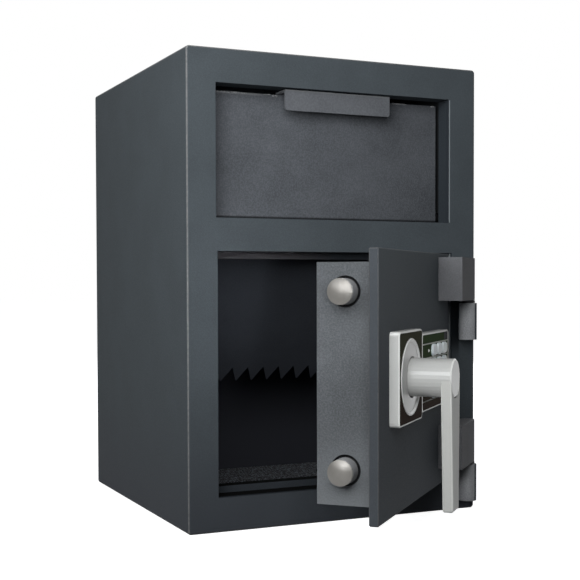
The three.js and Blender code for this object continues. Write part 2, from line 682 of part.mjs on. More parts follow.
function hingeWasher(foot) {
  const z = [foot - SEAT - HINGE_WASHER, foot - SEAT];
  const ring = rod("z", [hinge.x, hinge.y], WASHER_RADIUS, ...z);
  return ring.subtract(rod("z", [hinge.x, hinge.y], PIN_RADIUS + PIN_CLEARANCE, ...grow(z, CUT)));
}

// Bolt work: a box on the door's inner face with two bolts, their carriage and guides
const box = {
  x: [door.x[0] + BOX_SETBACK, door.x[1] - BOX_TO_HINGE],
  y: [behindDoor, doorInner + BOX_DEPTH],
  z: [door.z[0] + BOX_FROM_BOTTOM, door.z[1] - BOX_FROM_TOP],
};
const boltY = doorInner + BOLT_BEHIND;
const boltZ = { upper: door.z[1] - BOLT_FROM_TOP, lower: door.z[0] + BOLT_FROM_BOTTOM };
const boltRim = box.x[0] - BOLT_PROUD;
const coverBack = box.y[1] - SEAT;
const coverFront = coverBack - BOX_SHEET;

function boltBox() {
  const inside = grow(box.x, -BOX_SHEET);
  let made = block(box.x, box.y, box.z);
  made = made.subtract(block(inside, grow(box.y, CUT), grow(box.z, -BOX_SHEET)));
  for (const z of Object.values(boltZ)) {
    made = made.subtract(rod("x", [boltY, z], BOLT_HOLE_RADIUS, box.x[0] - CUT, inside[0] + CUT));
  }
  return made;
}

function boxCover() {
  const inset = -BOX_SHEET - SEAT;
  return block(grow(box.x, inset), [coverFront, coverBack], grow(box.z, inset));
}

const guideFront = box.x[0] + BOX_SHEET + GUIDE_BEHIND_WALL;
const guideX = [guideFront, guideFront + GUIDE_THICKNESS];
const carriageX = guideX[1] + CARRIAGE_CLEAR + BOLT_THROW; // left side of the carriage's bar, bolts drawn
const carriageY = [boltY - CARRIAGE_THICKNESS / 2, boltY + CARRIAGE_THICKNESS / 2];
const crankCircle = BOLT_THROW / (2 * Math.sin(radians(HANDLE_TURN / 2)));
const crank = [spindle[0] + BOLT_THROW / 2, spindle[1] - crankCircle * Math.cos(radians(HANDLE_TURN / 2))];
const blocker = [spindle[0] + BLOCKER_BESIDE, crank[1]];

function boltGuide(z) {
  const half = BOLT_RADIUS + GUIDE_WALL;
  const made = block(guideX, [behindDoor, boltY + half], [z - half, z + half]);
  return made.subtract(rod("x", [boltY, z], BOLT_RADIUS + BOLT_CLEARANCE, ...grow(guideX, CUT)));
}

function doorBolt(z) {
  const end = carriageX + CARRIAGE_BAR;
  const tip = boltRim - BOLT_DOME;
  const groove = boltRim + BOLT_LAND;
  const dome = [];
  for (let i = 0; i <= DOME_STEPS; i += 1) {
    const part = i / DOME_STEPS;
    dome.push([tip + BOLT_DOME * part * part, BOLT_RADIUS * part]);
  }
  const bolt = turned("x", [boltY, z], [
    ...dome,
    [groove, BOLT_RADIUS],
    [groove, BOLT_RADIUS - BOLT_GROOVE_DEPTH],
    [groove + BOLT_GROOVE, BOLT_RADIUS - BOLT_GROOVE_DEPTH],
    [groove + BOLT_GROOVE, BOLT_RADIUS],
    [end, BOLT_RADIUS],
    [end, 0],
  ]);
  const slot = [carriageX - SEAT, end + CUT];
  return bolt.subtract(block(slot, grow(carriageY, SEAT), [z - 2 * BOLT_RADIUS, z + 2 * BOLT_RADIUS]));
}

function boltCarriage() {
  const armEnd = blocker[0] + BOLT_THROW + CARRIAGE_END;
  const bar = roundedRectangle(
    [carriageX, carriageX + CARRIAGE_BAR],
    [boltZ.lower - CARRIAGE_END, boltZ.upper + CARRIAGE_END],
    CARRIAGE_CORNER,
  );
  const armZ = [crank[1] - CARRIAGE_ARM / 2, crank[1] + CARRIAGE_ARM / 2];
  const arm = roundedRectangle([carriageX, armEnd], armZ, CARRIAGE_CORNER);
  let made = extrudeAlong("y", bar, ...carriageY).add(extrudeAlong("y", arm, ...carriageY));
  const half = CRANK_RADIUS + CRANK_CLEARANCE;
  const drop = crankCircle - (spindle[1] - crank[1]);
  const through = grow(carriageY, CUT);
  const slotX = [crank[0] - half, crank[0] + half];
  const slot = roundedRectangle(slotX, [crank[1] - drop - half, crank[1] + half], CRANK_RADIUS);
  made = made.subtract(extrudeAlong("y", slot, ...through));
  for (const x of [blocker[0], blocker[0] + BOLT_THROW]) {
    made = made.subtract(rod("y", [x, blocker[1]], BLOCKER_RADIUS + BLOCKER_CLEARANCE, ...through));
  }
  return made;
}

// Handle: a cast hub with its blade, the spindle through the door and the cam that drives the bolts
const lockFace = DOOR_RECESS - LOCK_THICKNESS;
const lockBack = DOOR_RECESS - SEAT;
const handleEnd = lockFace - HUB_LENGTH;
const camY = [doorInner + CAM_BEHIND, doorInner + CAM_BEHIND + CAM_THICKNESS];

function handleHub() {
  const base = lockFace + HUB_ROOT;
  const hub = turned("y", spindle, [
    [handleEnd, 0],
    [handleEnd, HUB_RADIUS - HUB_CHAMFER],
    [handleEnd + HUB_CHAMFER, HUB_RADIUS],
    [base, HUB_RADIUS],
    [base, 0],
  ]);
  const socket = [lockFace - SPINDLE_IN_HUB - BORE_END, base + CUT];
  return hub.subtract(rod("y", spindle, SPINDLE_RADIUS + PIN_CLEARANCE, ...socket));
}

function handleBlade() {
  const top = grow([spindle[0] + BLADE_TOP_OFFSET, spindle[0] + BLADE_TOP_OFFSET], BLADE_TOP_WIDTH / 2);
  const tip = grow([spindle[0] + BLADE_TIP_OFFSET, spindle[0] + BLADE_TIP_OFFSET], BLADE_TIP_WIDTH / 2);
  const shoulder = spindle[1] - BLADE_ROOT;
  const foot = spindle[1] - BLADE_LENGTH;
  const shape = outline([
    [top[0], shoulder],
    [tip[0], foot + BLADE_CORNER],
    [tip[0] + BLADE_CORNER, foot],
    [tip[1] - BLADE_CORNER, foot],
    [tip[1], foot + BLADE_CORNER],
    [top[1], shoulder],
  ]);
  const y = [handleEnd, handleEnd + BLADE_THICKNESS];
  const blade = extrudeAlong("y", shape, ...y, BLADE_EDGE);
  return blade.subtract(rod("y", spindle, HUB_RADIUS + SEAT, ...grow(y, CUT)));
}

function handleSpindle() {
  return rod("y", spindle, SPINDLE_RADIUS, lockFace - SPINDLE_IN_HUB, camY[1]);
}

function boltCam() {
  const disc = rod("y", spindle, crankCircle + CRANK_RADIUS + CAM_RIM, ...camY);
  const pin = rod("y", crank, CRANK_RADIUS, camY[0] + CAM_THICKNESS / 2, carriageY[1] + CRANK_PAST);
  return disc.add(pin).subtract(rod("y", spindle, SPINDLE_RADIUS + PIN_CLEARANCE, ...grow(camY, CUT)));
}

// Lock case inside the bolt box, and its blocking pin
const caseRoom = {
  x: [blocker[0] - CASE_INSET, blocker[0] - CASE_INSET + CASE_WIDTH],
  y: [behindDoor, carriageY[0] - CASE_CLEAR],
  z: [blocker[1] - CASE_HEIGHT / 2, blocker[1] + CASE_HEIGHT / 2],
};
const blockerTip = carriageY[0] - BLOCKER_SHY;

function lockCase() {
  const bore = [blockerTip - BLOCKER_LENGTH - BORE_END, caseRoom.y[1] + CUT];
  const made = block(caseRoom.x, caseRoom.y, caseRoom.z);
  return made.subtract(rod("y", blocker, BLOCKER_RADIUS + PIN_CLEARANCE, ...bore));
}

function blockingPin() {
  return rod("y", blocker, BLOCKER_RADIUS, blockerTip - BLOCKER_LENGTH, blockerTip);
}

// Lock housing on the door's outer face: handle end and keypad end in one moulding
const plate = {
  x: [spindle[0] - PLATE_LEFT, spindle[0] + PLATE_RIGHT],
  z: [spindle[1] - PLATE_HALF_HEIGHT, spindle[1] + PLATE_HALF_HEIGHT],
};
const pad = {
  x: [plate.x[1], plate.x[1] + PAD_WIDTH],
  z: [spindle[1] - PAD_HALF_HEIGHT, spindle[1] + PAD_HALF_HEIGHT],
};
const inlayY = [lockFace, lockFace + INLAY];
const recess = INLAY + SEAT;
const keyRoom = lockFace - KEY_PROUD + KEY_LENGTH + KEY_TRAVEL + BORE_END; // bottom of a key's pocket

function keyCentre(column, row) {
  const x = plate.x[1] + KEYS_FROM_PLATE + (column + 0.5) * KEY_PITCH_X;
  return [x, pad.z[1] - TOP_STRIP - (row + 0.5) * KEY_PITCH_Z];
}

function keyShape([x, z], extra) {
  const halfWidth = KEY_WIDTH / 2 + extra;
  const halfHeight = KEY_HEIGHT / 2 + extra;
  return roundedRectangle([x - halfWidth, x + halfWidth], [z - halfHeight, z + halfHeight], KEY_CORNER);
}

function eachKey(visit) {
  for (let row = 0; row < 4; row += 1) {
    for (let column = 0; column < 3; column += 1) visit(keyCentre(column, row), row * 3 + column);
  }
}

const lamp = [keyCentre(0, 0)[0] - KEY_PITCH_X / 2 - LAMP_TO_KEYS, keyCentre(0, 0)[1]];
const handleInset = { x: grow(plate.x, -LOCK_RIM), z: grow(plate.z, -LOCK_RIM) };
const padInset = { x: [pad.x[0] + LOCK_RIM / 2, pad.x[1] - LOCK_RIM], z: grow(pad.z, -LOCK_RIM) };

function lockHousing() {
  const handleEndShape = roundedRectangle(plate.x, plate.z, LOCK_CORNER);
  const padShape = roundedRectangle([pad.x[0] - 2 * LOCK_CORNER, pad.x[1]], pad.z, LOCK_CORNER);
  let made = bevelledPlate(handleEndShape, lockFace, lockBack, LOCK_EDGE);
  made = made.add(bevelledPlate(padShape, lockFace, lockBack, LOCK_EDGE));
  const cut = (shape, depth) => {
    made = made.subtract(extrudeAlong("y", shape, lockFace - CUT, lockFace + depth));
  };
  cut(roundedRectangle(handleInset.x, handleInset.z, INLAY_CORNER), recess);
  cut(roundedRectangle(padInset.x, padInset.z, INLAY_CORNER), recess);
  eachKey((centre) => cut(keyShape(centre, KEY_CLEARANCE), keyRoom - lockFace));
  const bore = (centre, radius, to) => {
    made = made.subtract(rod("y", centre, radius, lockFace - CUT, to));
  };
  bore(lamp, LAMP_RADIUS + PIN_CLEARANCE, lockFace + LAMP_LENGTH + BORE_END);
  bore(spindle, ROSE_RADIUS + SEAT, lockFace + ROSE_SEAT);
  bore(spindle, HUB_RADIUS + SEAT, lockFace + HUB_ROOT + SEAT);
  bore(spindle, SPINDLE_RADIUS + SPINDLE_CLEARANCE, lockBack + CUT);
  return made;
}

function handleInlay() {
  const shape = roundedRectangle(grow(handleInset.x, -SEAT), grow(handleInset.z, -SEAT), INLAY_CORNER - SEAT);
  const made = extrudeAlong("y", shape, ...inlayY);
  return made.subtract(rod("y", spindle, ROSE_RADIUS + SEAT, ...grow(inlayY, CUT)));
}

function keypadInlay() {
  const shape = roundedRectangle(grow(padInset.x, -SEAT), grow(padInset.z, -SEAT), INLAY_CORNER - SEAT);
  let made = extrudeAlong("y", shape, ...inlayY);
  eachKey((centre) => {
    made = made.subtract(extrudeAlong("y", keyShape(centre, KEY_CLEARANCE), ...grow(inlayY, CUT)));
  });
  return made.subtract(rod("y", lamp, LAMP_RADIUS + PIN_CLEARANCE, ...grow(inlayY, CUT)));
}

function handleRose() {
  const front = lockFace - ROSE_RISE;
  const back = lockFace + ROSE_SEAT - SEAT;
  return turned("y", spindle, [
    [lockFace - ROSE_COLLAR, ROSE_INNER],
    [lockFace + ROSE_GROOVE, ROSE_RADIUS - 2 * ROSE_RIM],
    [front, ROSE_RADIUS - ROSE_RIM],
    [front, ROSE_RADIUS - ROSE_EDGE],
    [front + ROSE_EDGE, ROSE_RADIUS],
    [back, ROSE_RADIUS],
    [back, ROSE_INNER],
    [lockFace - ROSE_COLLAR, ROSE_INNER],
  ]);
}

function keyCap(centre) {
  const front = lockFace - KEY_PROUD;
  return bevelledPlate(keyShape(centre, 0), front, front + KEY_LENGTH, KEY_PROUD / 2);
}

function statusLamp() {
  return turned("y", lamp, [
    [lockFace - LAMP_RADIUS / 3, 0],
    [lockFace - LAMP_RADIUS / 3, LAMP_RADIUS / 2],
    [lockFace, LAMP_RADIUS],
    [lockFace + LAMP_LENGTH, LAMP_RADIUS],
    [lockFace + LAMP_LENGTH, 0],
  ]);
}

// Fixed pieces
add(safe, "body_shell", bodyShell(), bodyPaint);
add(safe, "rear_panel", rearPanel(), bodyPaint);
add(safe, "door_jamb", doorJamb(), bodyPaint);
add(safe, "hopper_surround", hopperSurround(), bodyPaint);
add(safe, "floor_mat", floorMat(), carpetGrey);
add(safe, "chute_plate", chutePlate(), innerPaint);
add(safe, "rear_baffle", rearBaffle(), innerPaint);
for (const [hand, side] of [["left", -1], ["right", 1]]) {
  add(safe, `hopper_side_${hand}`, sidePlate(side), innerPaint);
  add(safe, `hopper_pivot_${hand}`, hopperStud(side, [pivot.y, pivot.z]), plainSteel);
  add(safe, `hopper_stop_${hand}`, hopperStud(side, stopStud), plainSteel);
}
for (const [level, foot] of Object.entries(blockFoot)) {
  add(safe, `hinge_knuckle_${level}`, hingeKnuckle(foot), bodyPaint);
  add(safe, `hinge_pin_${level}`, hingePin(foot), plainSteel);
  add(safe, `hinge_washer_${level}`, hingeWasher(foot), brightSteel);
}

// Pieces that tilt with the hopper
const hopperGroup = new THREE.Group();
safe.add(hopperGroup);
add(hopperGroup, "hopper_front", hopperFront(), hopperPaint);
add(hopperGroup, "hopper_pull", hopperPull(), hopperPaint);
add(hopperGroup, "hopper_floor", hopperFloor(), hopperPaint);
add(hopperGroup, "hopper_cheek_left", hopperCheek(-1), hopperPaint);
add(hopperGroup, "hopper_cheek_right", hopperCheek(1), hopperPaint);

// Pieces that swing with the door, turned about the pins from shut to open
const doorSwing = new THREE.Group();
doorSwing.position.set(hinge.x, hinge.y, 0);
doorSwing.rotation.z = radians(OPEN_ANGLE);
const doorGroup = new THREE.Group();
doorGroup.position.set(-hinge.x, -hinge.y, 0);
doorSwing.add(doorGroup);
safe.add(doorSwing);
add(doorGroup, "door_plate", doorPlate(), bodyPaint);
for (const [level, foot] of Object.entries(blockFoot)) {
  add(doorGroup, `hinge_block_${level}`, hingeBlock(foot), bodyPaint);
}
add(doorGroup, "bolt_box", boltBox(), boxPaint);
add(doorGroup, "box_cover", boxCover(), boxPaint);
for (const [level, z] of Object.entries(boltZ)) {
  add(doorGroup, `bolt_guide_${level}`, boltGuide(z), plainSteel);
  add(doorGroup, `bolt_${level}`, doorBolt(z), brightSteel);
}
add(doorGroup, "bolt_carriage", boltCarriage(), plainSteel);
add(doorGroup, "lock_case", lockCase(), caseBlack);
add(doorGroup, "blocking_pin", blockingPin(), plainSteel);
add(doorGroup, "lock_housing", lockHousing(), castGrey);
add(doorGroup, "handle_inlay", handleInlay(), inlayGreen);
add(doorGroup, "keypad_inlay", keypadInlay(), inlayGreen);
add(doorGroup, "handle_rose", handleRose(), castGrey);
add(doorGroup, "status_lamp", statusLamp(), lampClear);
const keyNames = ["1", "2", "3", "4", "5", "6", "7", "8", "9", "clear", "0", "enter"];
eachKey((centre, i) => add(doorGroup, `key_${keyNames[i]}`, keyCap(centre), keyWhite));
add(doorGroup, "handle_hub", handleHub(), castGrey);
add(doorGroup, "handle_blade", handleBlade(), castGrey);
add(doorGroup, "handle_spindle", handleSpindle(), plainSteel);
add(doorGroup, "bolt_cam", boltCam(), plainSteel);

export default safe;
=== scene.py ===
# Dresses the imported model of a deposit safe: paints, steels, printed overlays, carpet, weld beads and
# key numbers. Metres, +Z up, the front faces -Y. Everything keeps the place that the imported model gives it.
import json
import math

import bmesh
import bpy
from mathutils import Euler, Matrix, Vector, noise


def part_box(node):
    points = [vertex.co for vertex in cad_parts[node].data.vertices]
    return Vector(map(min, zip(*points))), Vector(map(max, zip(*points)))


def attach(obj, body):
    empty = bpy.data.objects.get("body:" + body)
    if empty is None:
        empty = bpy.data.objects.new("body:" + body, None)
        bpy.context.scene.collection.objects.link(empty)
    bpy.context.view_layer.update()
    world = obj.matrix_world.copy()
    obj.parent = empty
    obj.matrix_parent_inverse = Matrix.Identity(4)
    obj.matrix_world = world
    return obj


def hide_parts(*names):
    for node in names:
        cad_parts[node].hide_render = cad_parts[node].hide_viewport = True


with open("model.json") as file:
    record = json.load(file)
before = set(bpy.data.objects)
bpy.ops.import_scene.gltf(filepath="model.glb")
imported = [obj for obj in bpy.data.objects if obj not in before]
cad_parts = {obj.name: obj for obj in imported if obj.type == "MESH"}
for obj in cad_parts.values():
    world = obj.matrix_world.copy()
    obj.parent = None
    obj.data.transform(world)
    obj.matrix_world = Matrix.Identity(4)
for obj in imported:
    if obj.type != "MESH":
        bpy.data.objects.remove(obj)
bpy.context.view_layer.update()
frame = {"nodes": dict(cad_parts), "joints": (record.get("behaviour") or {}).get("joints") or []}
nodes = frame["nodes"]
MM = 0.001

# Camera
# Stands at the left of the safe, a little below half its height, and looks slightly down. The focal
# length and the middle row are in pixels of a square picture.
PICTURE = 580
FOCAL_LENGTH = 1140.74
MIDDLE_ROW = 319.63
camera_data = bpy.data.cameras.new("camera")
camera_data.sensor_width = 36
camera_data.lens = camera_data.sensor_width * FOCAL_LENGTH / PICTURE
camera_data.shift_y = (MIDDLE_ROW - PICTURE / 2) / PICTURE
camera = bpy.data.objects.new("camera", camera_data)
camera.location = (-0.57295, -1.29208, 0.26249)
camera.rotation_euler = [math.radians(angle) for angle in (88.1773, 0.1355, -24.7160)]
bpy.context.scene.collection.objects.link(camera)
bpy.context.scene.camera = camera

# Light
# A softbox above the left front, so the safe darkens towards its foot, and weak ones at the left, behind
# and into the doorway. The room is white where it is seen, directly or in metal, and dimmer as a light.
bpy.context.scene.view_settings.view_transform = "Standard"


def softbox(name, place, target, size, power, color, spread=180):
    light = bpy.data.lights.new(name, "AREA")
    light.spread = math.radians(spread)
    light.shape = "RECTANGLE"
    light.size, light.size_y = size
    light.energy = power
    light.color = color
    holder = bpy.data.objects.new(name, light)
    holder.location = place
    holder.rotation_euler = (Vector(target) - Vector(place)).to_track_quat("-Z", "Y").to_euler()
    bpy.context.scene.collection.objects.link(holder)


softbox("light_key", (-0.54, -0.86, 0.60), (-0.12, -0.1, 0.57), (0.7, 0.6), 7, (0.96, 0.98, 1), 130)
softbox("light_inside", (-0.33, -1.15, 0.21), (-0.095, 0, 0.245), (0.14, 0.14), 0.03, (0.93, 0.97, 1), 14)
softbox("light_low", (-0.60, -0.90, 0.30), (-0.085, -0.346, 0.05), (0.12, 0.12), 0.014, (0.93, 0.97, 1), 12)
softbox("light_back", (1.3, 1.8, 0.9), (0, 0.1, 0.25), (1.2, 1.2), 22, (0.97, 0.98, 1))
softbox("light_left", (-0.98, -0.45, 0.74), (-0.1, -0.1, 0.68), (0.5, 0.5), 2, (0.95, 0.99, 1), 130)


class Socket:
    """One output of a tree's nodes. Sums make Math nodes, and make() adds any other node."""

    def __init__(self, tree, output=None):
        self.tree = tree
        self.output = output

    def make(self, kind, inputs=None, result=0, **settings):
        """Adds a node, sets it, feeds its inputs and gives the output that result names."""
        node = self.tree.nodes.new(kind)
        for name, value in settings.items():
            setattr(node, name, value)
        for name, value in (inputs or {}).items():
            feed(self.tree, node.inputs[name], value)
        return Socket(self.tree, node.outputs[result])

    def beside(self, result):
        """Another output of the same node."""
        return Socket(self.tree, self.output.node.outputs[result])

    def math(self, operation, *values):
        return self.make("ShaderNodeMath", dict(enumerate(values)), operation=operation)

    def larger(self, other):
        return self.math("MAXIMUM", self, other)

    def __abs__(self):
        return self.math("ABSOLUTE", self)

    def __add__(self, other):
        return self.math("ADD", self, other)

    def __radd__(self, other):
        return self.math("ADD", other, self)

    def __sub__(self, other):
        return self.math("SUBTRACT", self, other)

    def __rsub__(self, other):
        return self.math("SUBTRACT", other, self)

    def __mul__(self, other):
        return self.math("MULTIPLY", self, other)

    def __rmul__(self, other):
        return self.math("MULTIPLY", other, self)

    def __pow__(self, other):
        return self.math("POWER", self, other)


def feed(tree, socket, value):
    if isinstance(value, Socket):
        tree.links.new(value.output, socket)
    else:
        socket.default_value = value


def seen_or_lit(tree, end, lit, seen):
    """Ends a tree in seen where the camera, metal or glass looks, and in lit where light is gathered."""
    camera_ray = Socket(tree).make("ShaderNodeLightPath", result="Is Camera Ray")
    looked_at = camera_ray.larger(camera_ray.beside("Is Glossy Ray"))
    looked_at = looked_at.larger(camera_ray.beside("Is Transmission Ray"))
    mixed = looked_at.make("ShaderNodeMixShader", {0: looked_at, 1: lit, 2: seen})
    feed(tree, tree.nodes[end].inputs["Surface"], mixed)


world = bpy.data.worlds.new("room")
bpy.context.scene.world = world
world.use_nodes = True
room = world.node_tree
dim_room = room.nodes["Background"]
dim_room.inputs["Color"].default_value = (0.93, 0.97, 1, 1)
dim_room.inputs["Strength"].default_value = 0.1
white_room = Socket(room).make("ShaderNodeBackground", {"Color": (1, 1, 1, 1), "Strength": 1})
seen_or_lit(room, "World Output", Socket(room, dim_room.outputs[0]), white_room)


# Body
# Welded sheet steel: the folded shell with its front plate, and the rear panel. A fine textured coat in dark
# slate covers them. It has painted highlights on broken edges and opening rims, painted shade towards the
# foot, inside and on cut edges, and painted shadow beside the hinges.
def material(name):
    """A new material, its main shader and the place on the piece at rest, which moves with the piece."""
    made = bpy.data.materials.new(name)
    made.use_nodes = True
    at = Socket(made.node_tree).make("ShaderNodeTexCoord", result="Object")
    return made, made.node_tree.nodes["Principled BSDF"], at


def axes(at):
    """The three numbers of a place or a direction."""
    x = at.make("ShaderNodeSeparateXYZ", {0: at})
    return x, x.beside(1), x.beside(2)


def facing(at):
    """The way a face looks at rest, which moves with its piece."""
    return axes(at.beside("Normal"))


def cloud(at, size, detail=2, roughness=0.5, stretch=(1, 1, 1)):
    """Noise whose features are about size metres across, from 0 to 1."""
    placed = at.make("ShaderNodeVectorMath", {0: at, 1: stretch}, operation="MULTIPLY")
    inputs = {"Vector": placed, "Scale": 1 / size, "Detail": detail, "Roughness": roughness}
    return at.make("ShaderNodeTexNoise", inputs)


def ramp(value, low, high):
    """0 below low, 1 above high, smooth between."""
    inputs = {"Value": value, "From Min": low, "From Max": high}
    return value.make("ShaderNodeMapRange", inputs, interpolation_type="SMOOTHSTEP")


def near(value, middle, sure, gone):
    """1 within sure of middle, 0 beyond gone."""
    return 1 - ramp(abs(value - middle), sure, gone)


def blend(factor, first, second):
    """Colour first where factor is 0 and second where it is 1."""
    inputs = {0: factor}
    for socket, color in ((6, first), (7, second)):
        inputs[socket] = color if isinstance(color, Socket) else (*color, 1)
    return factor.make("ShaderNodeMix", inputs, result=2, data_type="RGBA")


def bump(height, strength, depth):
    return height.make("ShaderNodeBump", {"Height": height, "Strength": strength, "Distance": depth})


def across_corner(at, turn=0.0):
    """1 on the narrow faces that break an edge, 0 on flat sides, for a piece turned about the vertical."""
    x, y, z = facing(at)
    along = abs(x * math.cos(turn) + y * math.sin(turn))
    out = abs(y * math.cos(turn) - x * math.sin(turn))
    return 1 - ramp(along.larger(out).larger(abs(z)), 0.86, 0.98)


def powder_coat(
    name,
    color,
    rough,
    shade=0.14,
    pebble=1.3 * MM,
    depth=0.22 * MM,
    warm=0.0,
    gloss=0.06,
    edge=0.0,
    turn=0.0,
    foot=None,
):
    """Textured powder coat: pebbled skin, cloudy colour and glossier crowns. edge is how much paler the
    painted highlights on broken edges are, turn how far the piece is turned about the vertical, and foot the
    colour painted near the floor as shading."""
    made, shader, at = material(name)
    skin = cloud(at, pebble, 3, 0.6)
    patches = cloud(at, 60 * MM, 3)
    fine = cloud(at, 0.5 * MM, 1)
    tone = ramp(patches, 0.25, 0.75) * 0.5 + ramp(skin, 0.35, 0.7) * 0.5
    dark = [c * (1 - shade) for c in color]
    light = [c * (1 + shade) + warm * w for c, w in zip(color, (0.01, 0.004, 0.002))]
    coat = blend(tone, dark, light)
    # Painted shading: the coat turns to the foot colour towards the floor, as the light falls there.
    if foot:
        _, _, z = axes(at)
        coat = blend(1 - ramp(z, -0.03, 0.16), coat, foot)
    # Painted highlights: broken edges are paler, as if they caught the light.
    if edge:
        edge_highlights = across_corner(at, turn) * (0.6 + 0.4 * ramp(cloud(at, 5 * MM, 3, 0.6), 0.3, 0.65))
        highlight_grey = sum(color) / 3 * edge
        coat = blend(edge_highlights, coat, (highlight_grey, highlight_grey, highlight_grey))
    feed(at.tree, shader.inputs["Base Color"], coat)
    feed(at.tree, shader.inputs["Roughness"], rough - 0.12 * ramp(skin, 0.4, 0.8) + 0.06 * (patches - 0.5))
    feed(at.tree, shader.inputs["Normal"], bump(skin + 0.3 * fine, 0.8, depth))
    shader.inputs["Specular IOR Level"].default_value = gloss
    return made


def painted_over(made, mask, color):
    """Gives another colour where mask(x, y, z) is 1."""
    tree = made.node_tree
    base = tree.nodes["Principled BSDF"].inputs["Base Color"]
    before = Socket(tree, base.links[0].from_socket)
    at = Socket(tree, tree.nodes["Texture Coordinate"].outputs["Object"])
    feed(tree, base, blend(mask(*axes(at)), before, color))


def wear(*names, with_material):
    for name in names:
        nodes[name].data.materials.clear()
        nodes[name].data.materials.append(with_material)


def smooth(piece, angle):
    piece.data.shade_smooth()
    piece.data.set_sharp_from_angle(angle=math.radians(angle))


EDGE_ANGLE = 25


def round_edges(names, width, segments=2):
    """Breaks the edges of plates and blocks by a small radius, so they catch the light."""
    for name in names:
        piece = nodes[name]
        clean = piece.modifiers.new("clean", "DECIMATE")
        clean.decimate_type = "DISSOLVE"
        clean.angle_limit = math.radians(0.4)
        rounding = piece.modifiers.new("rounding", "BEVEL")
        rounding.width = width
        rounding.segments = segments
        rounding.limit_method = "ANGLE"
        rounding.angle_limit = math.radians(EDGE_ANGLE)
        rounding.harden_normals = True
        smooth(piece, EDGE_ANGLE)


SHELL_WALL = 4.8 * MM
PLATE = 6.1 * MM
SKIN = 1 * MM
SILL = 36.8 * MM
DOOR_OPENING = ((-142.6 * MM, 145.2 * MM), (SILL, 296.5 * MM))
DOOR_OPENING_RIGHT = DOOR_OPENING[0][1]
DRAWER_OPENING = ((-144.1 * MM, 141.2 * MM), (331.5 * MM, 471.9 * MM))
DRAWER_OPENING_RIGHT = DRAWER_OPENING[0][1]
SHADOW_RIGHT = 154 * MM
SHADOW_BELOW = 26 * MM
SHADOW_ABOVE = 12 * MM
shell_low, shell_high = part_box("body_shell")
front_face = shell_low.y


def in_front_of(y, depth):
    """1 from the front face back to depth, 0 behind it."""
    return 1 - ramp(y, front_face + depth, front_face + depth + 0.2 * MM)


def inside_shell(*place):
    """1 on the inner faces of the shell, which no light reaches directly, so they are painted darker as
    shade.
    """
    inside = 1
    for part, low, high in zip(place, shell_low, shell_high):
        half = (high - low) / 2 - SHELL_WALL
        inside = near(part, (low + high) / 2, half - 0.1 * MM, half + 0.1 * MM) * inside
    return inside


def opening_wall_shade(x, y, z):
    """1 on the cut edges of the front plate's two openings, which are painted dark as shade."""
    walls = 0
    for opening in (DOOR_OPENING, DRAWER_OPENING):
        within = 1
        for part, (low, high) in zip((x, z), opening):
            half = (high - low) / 2
            within = near(part, (low + high) / 2, half + 0.1 * MM, half + 0.2 * MM) * within
        walls = within + walls
    return walls * in_front_of(y, PLATE)


def drawer_rim_highlight(x, y, z):
    """A painted highlight on the right edge of the drawer's opening, from its cut wall to the front face."""
    low, high = DRAWER_OPENING[1]
    half = (high - low) / 2
    beside = near(x, DRAWER_OPENING_RIGHT + 0.8 * MM, 0.65 * MM, 0.8 * MM)
    return beside * near(z, (low + high) / 2, half - 1 * MM, half) * in_front_of(y, SKIN)


def hinge_shadow(x, y, z):
    """Painted shadow, near black, on the front face between the door opening and each knuckle."""
    left_of = 1 - ramp(x, SHADOW_RIGHT, SHADOW_RIGHT + 3 * MM)
    beside = ramp(x, DOOR_OPENING_RIGHT - 0.3 * MM, DOOR_OPENING_RIGHT) * left_of
    shadow_bands = 0
    for name in ("hinge_knuckle_upper", "hinge_knuckle_lower"):
        low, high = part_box(name)
        below = 1 - ramp(z, high.z + 3 * MM, high.z + SHADOW_ABOVE)
        shadow_bands = ramp(z, low.z - SHADOW_BELOW, low.z) * below + shadow_bands
    return beside * shadow_bands * in_front_of(y, SKIN)


def door_rim_highlight(x, y, z):
    """A painted highlight on the rear of the opening's cut edge, beside the hinges."""
    behind = ramp(y - front_face, 2.2 * MM, 2.6 * MM)
    return near(x, DOOR_OPENING_RIGHT, 0.2 * MM, 0.3 * MM) * behind * in_front_of(y, PLATE)


# Painted highlights on broken edges, and painted shade darkening the coat towards the foot.
body_paint = powder_coat(
    "slate_powder_coat", (0.051, 0.0595, 0.0655), rough=0.75, edge=2.3, foot=(0.041, 0.045, 0.052)
)
# Painted shade: the inner faces of the shell are darker.
painted_over(body_paint, inside_shell, (0.036, 0.037, 0.045))
# Painted shade on the cut edges of the openings.
painted_over(body_paint, opening_wall_shade, (0.022, 0.026, 0.031))
# Painted highlight on the right edge of the drawer's opening.
painted_over(body_paint, drawer_rim_highlight, (0.19, 0.21, 0.22))
# Painted shadow beside the hinges, between the door opening and the knuckles.
painted_over(body_paint, hinge_shadow, (0.004, 0.005, 0.006))
# Painted highlight on the door opening's cut edge beside the hinges.
painted_over(body_paint, door_rim_highlight, (0.24, 0.26, 0.27))
wear("body_shell", "rear_panel", with_material=body_paint)
round_edges(["body_shell"], 0.9 * MM, 3)
round_edges(["rear_panel"], 0.4 * MM)

# Frames behind the openings
# Folded steel sleeves welded behind the front plate. The door's sleeve has the stops that the shut door
# meets. Its coat has painted light on the upper stop, painted shade on the lower stop's seat and painted
# highlights on broken edges.
STOP_TOP = SILL + 7.5 * MM
STOP_FACE = front_face + 25.5 * MM
UPPER_STOP = 270 * MM


def upper_stop_light(x, y, z):
    """The left part of the upper stop, where the light reaches, painted lighter as painted light."""
    return ramp(z, UPPER_STOP, UPPER_STOP + 5 * MM) * (1 - ramp(x, -0.06, 0.02))


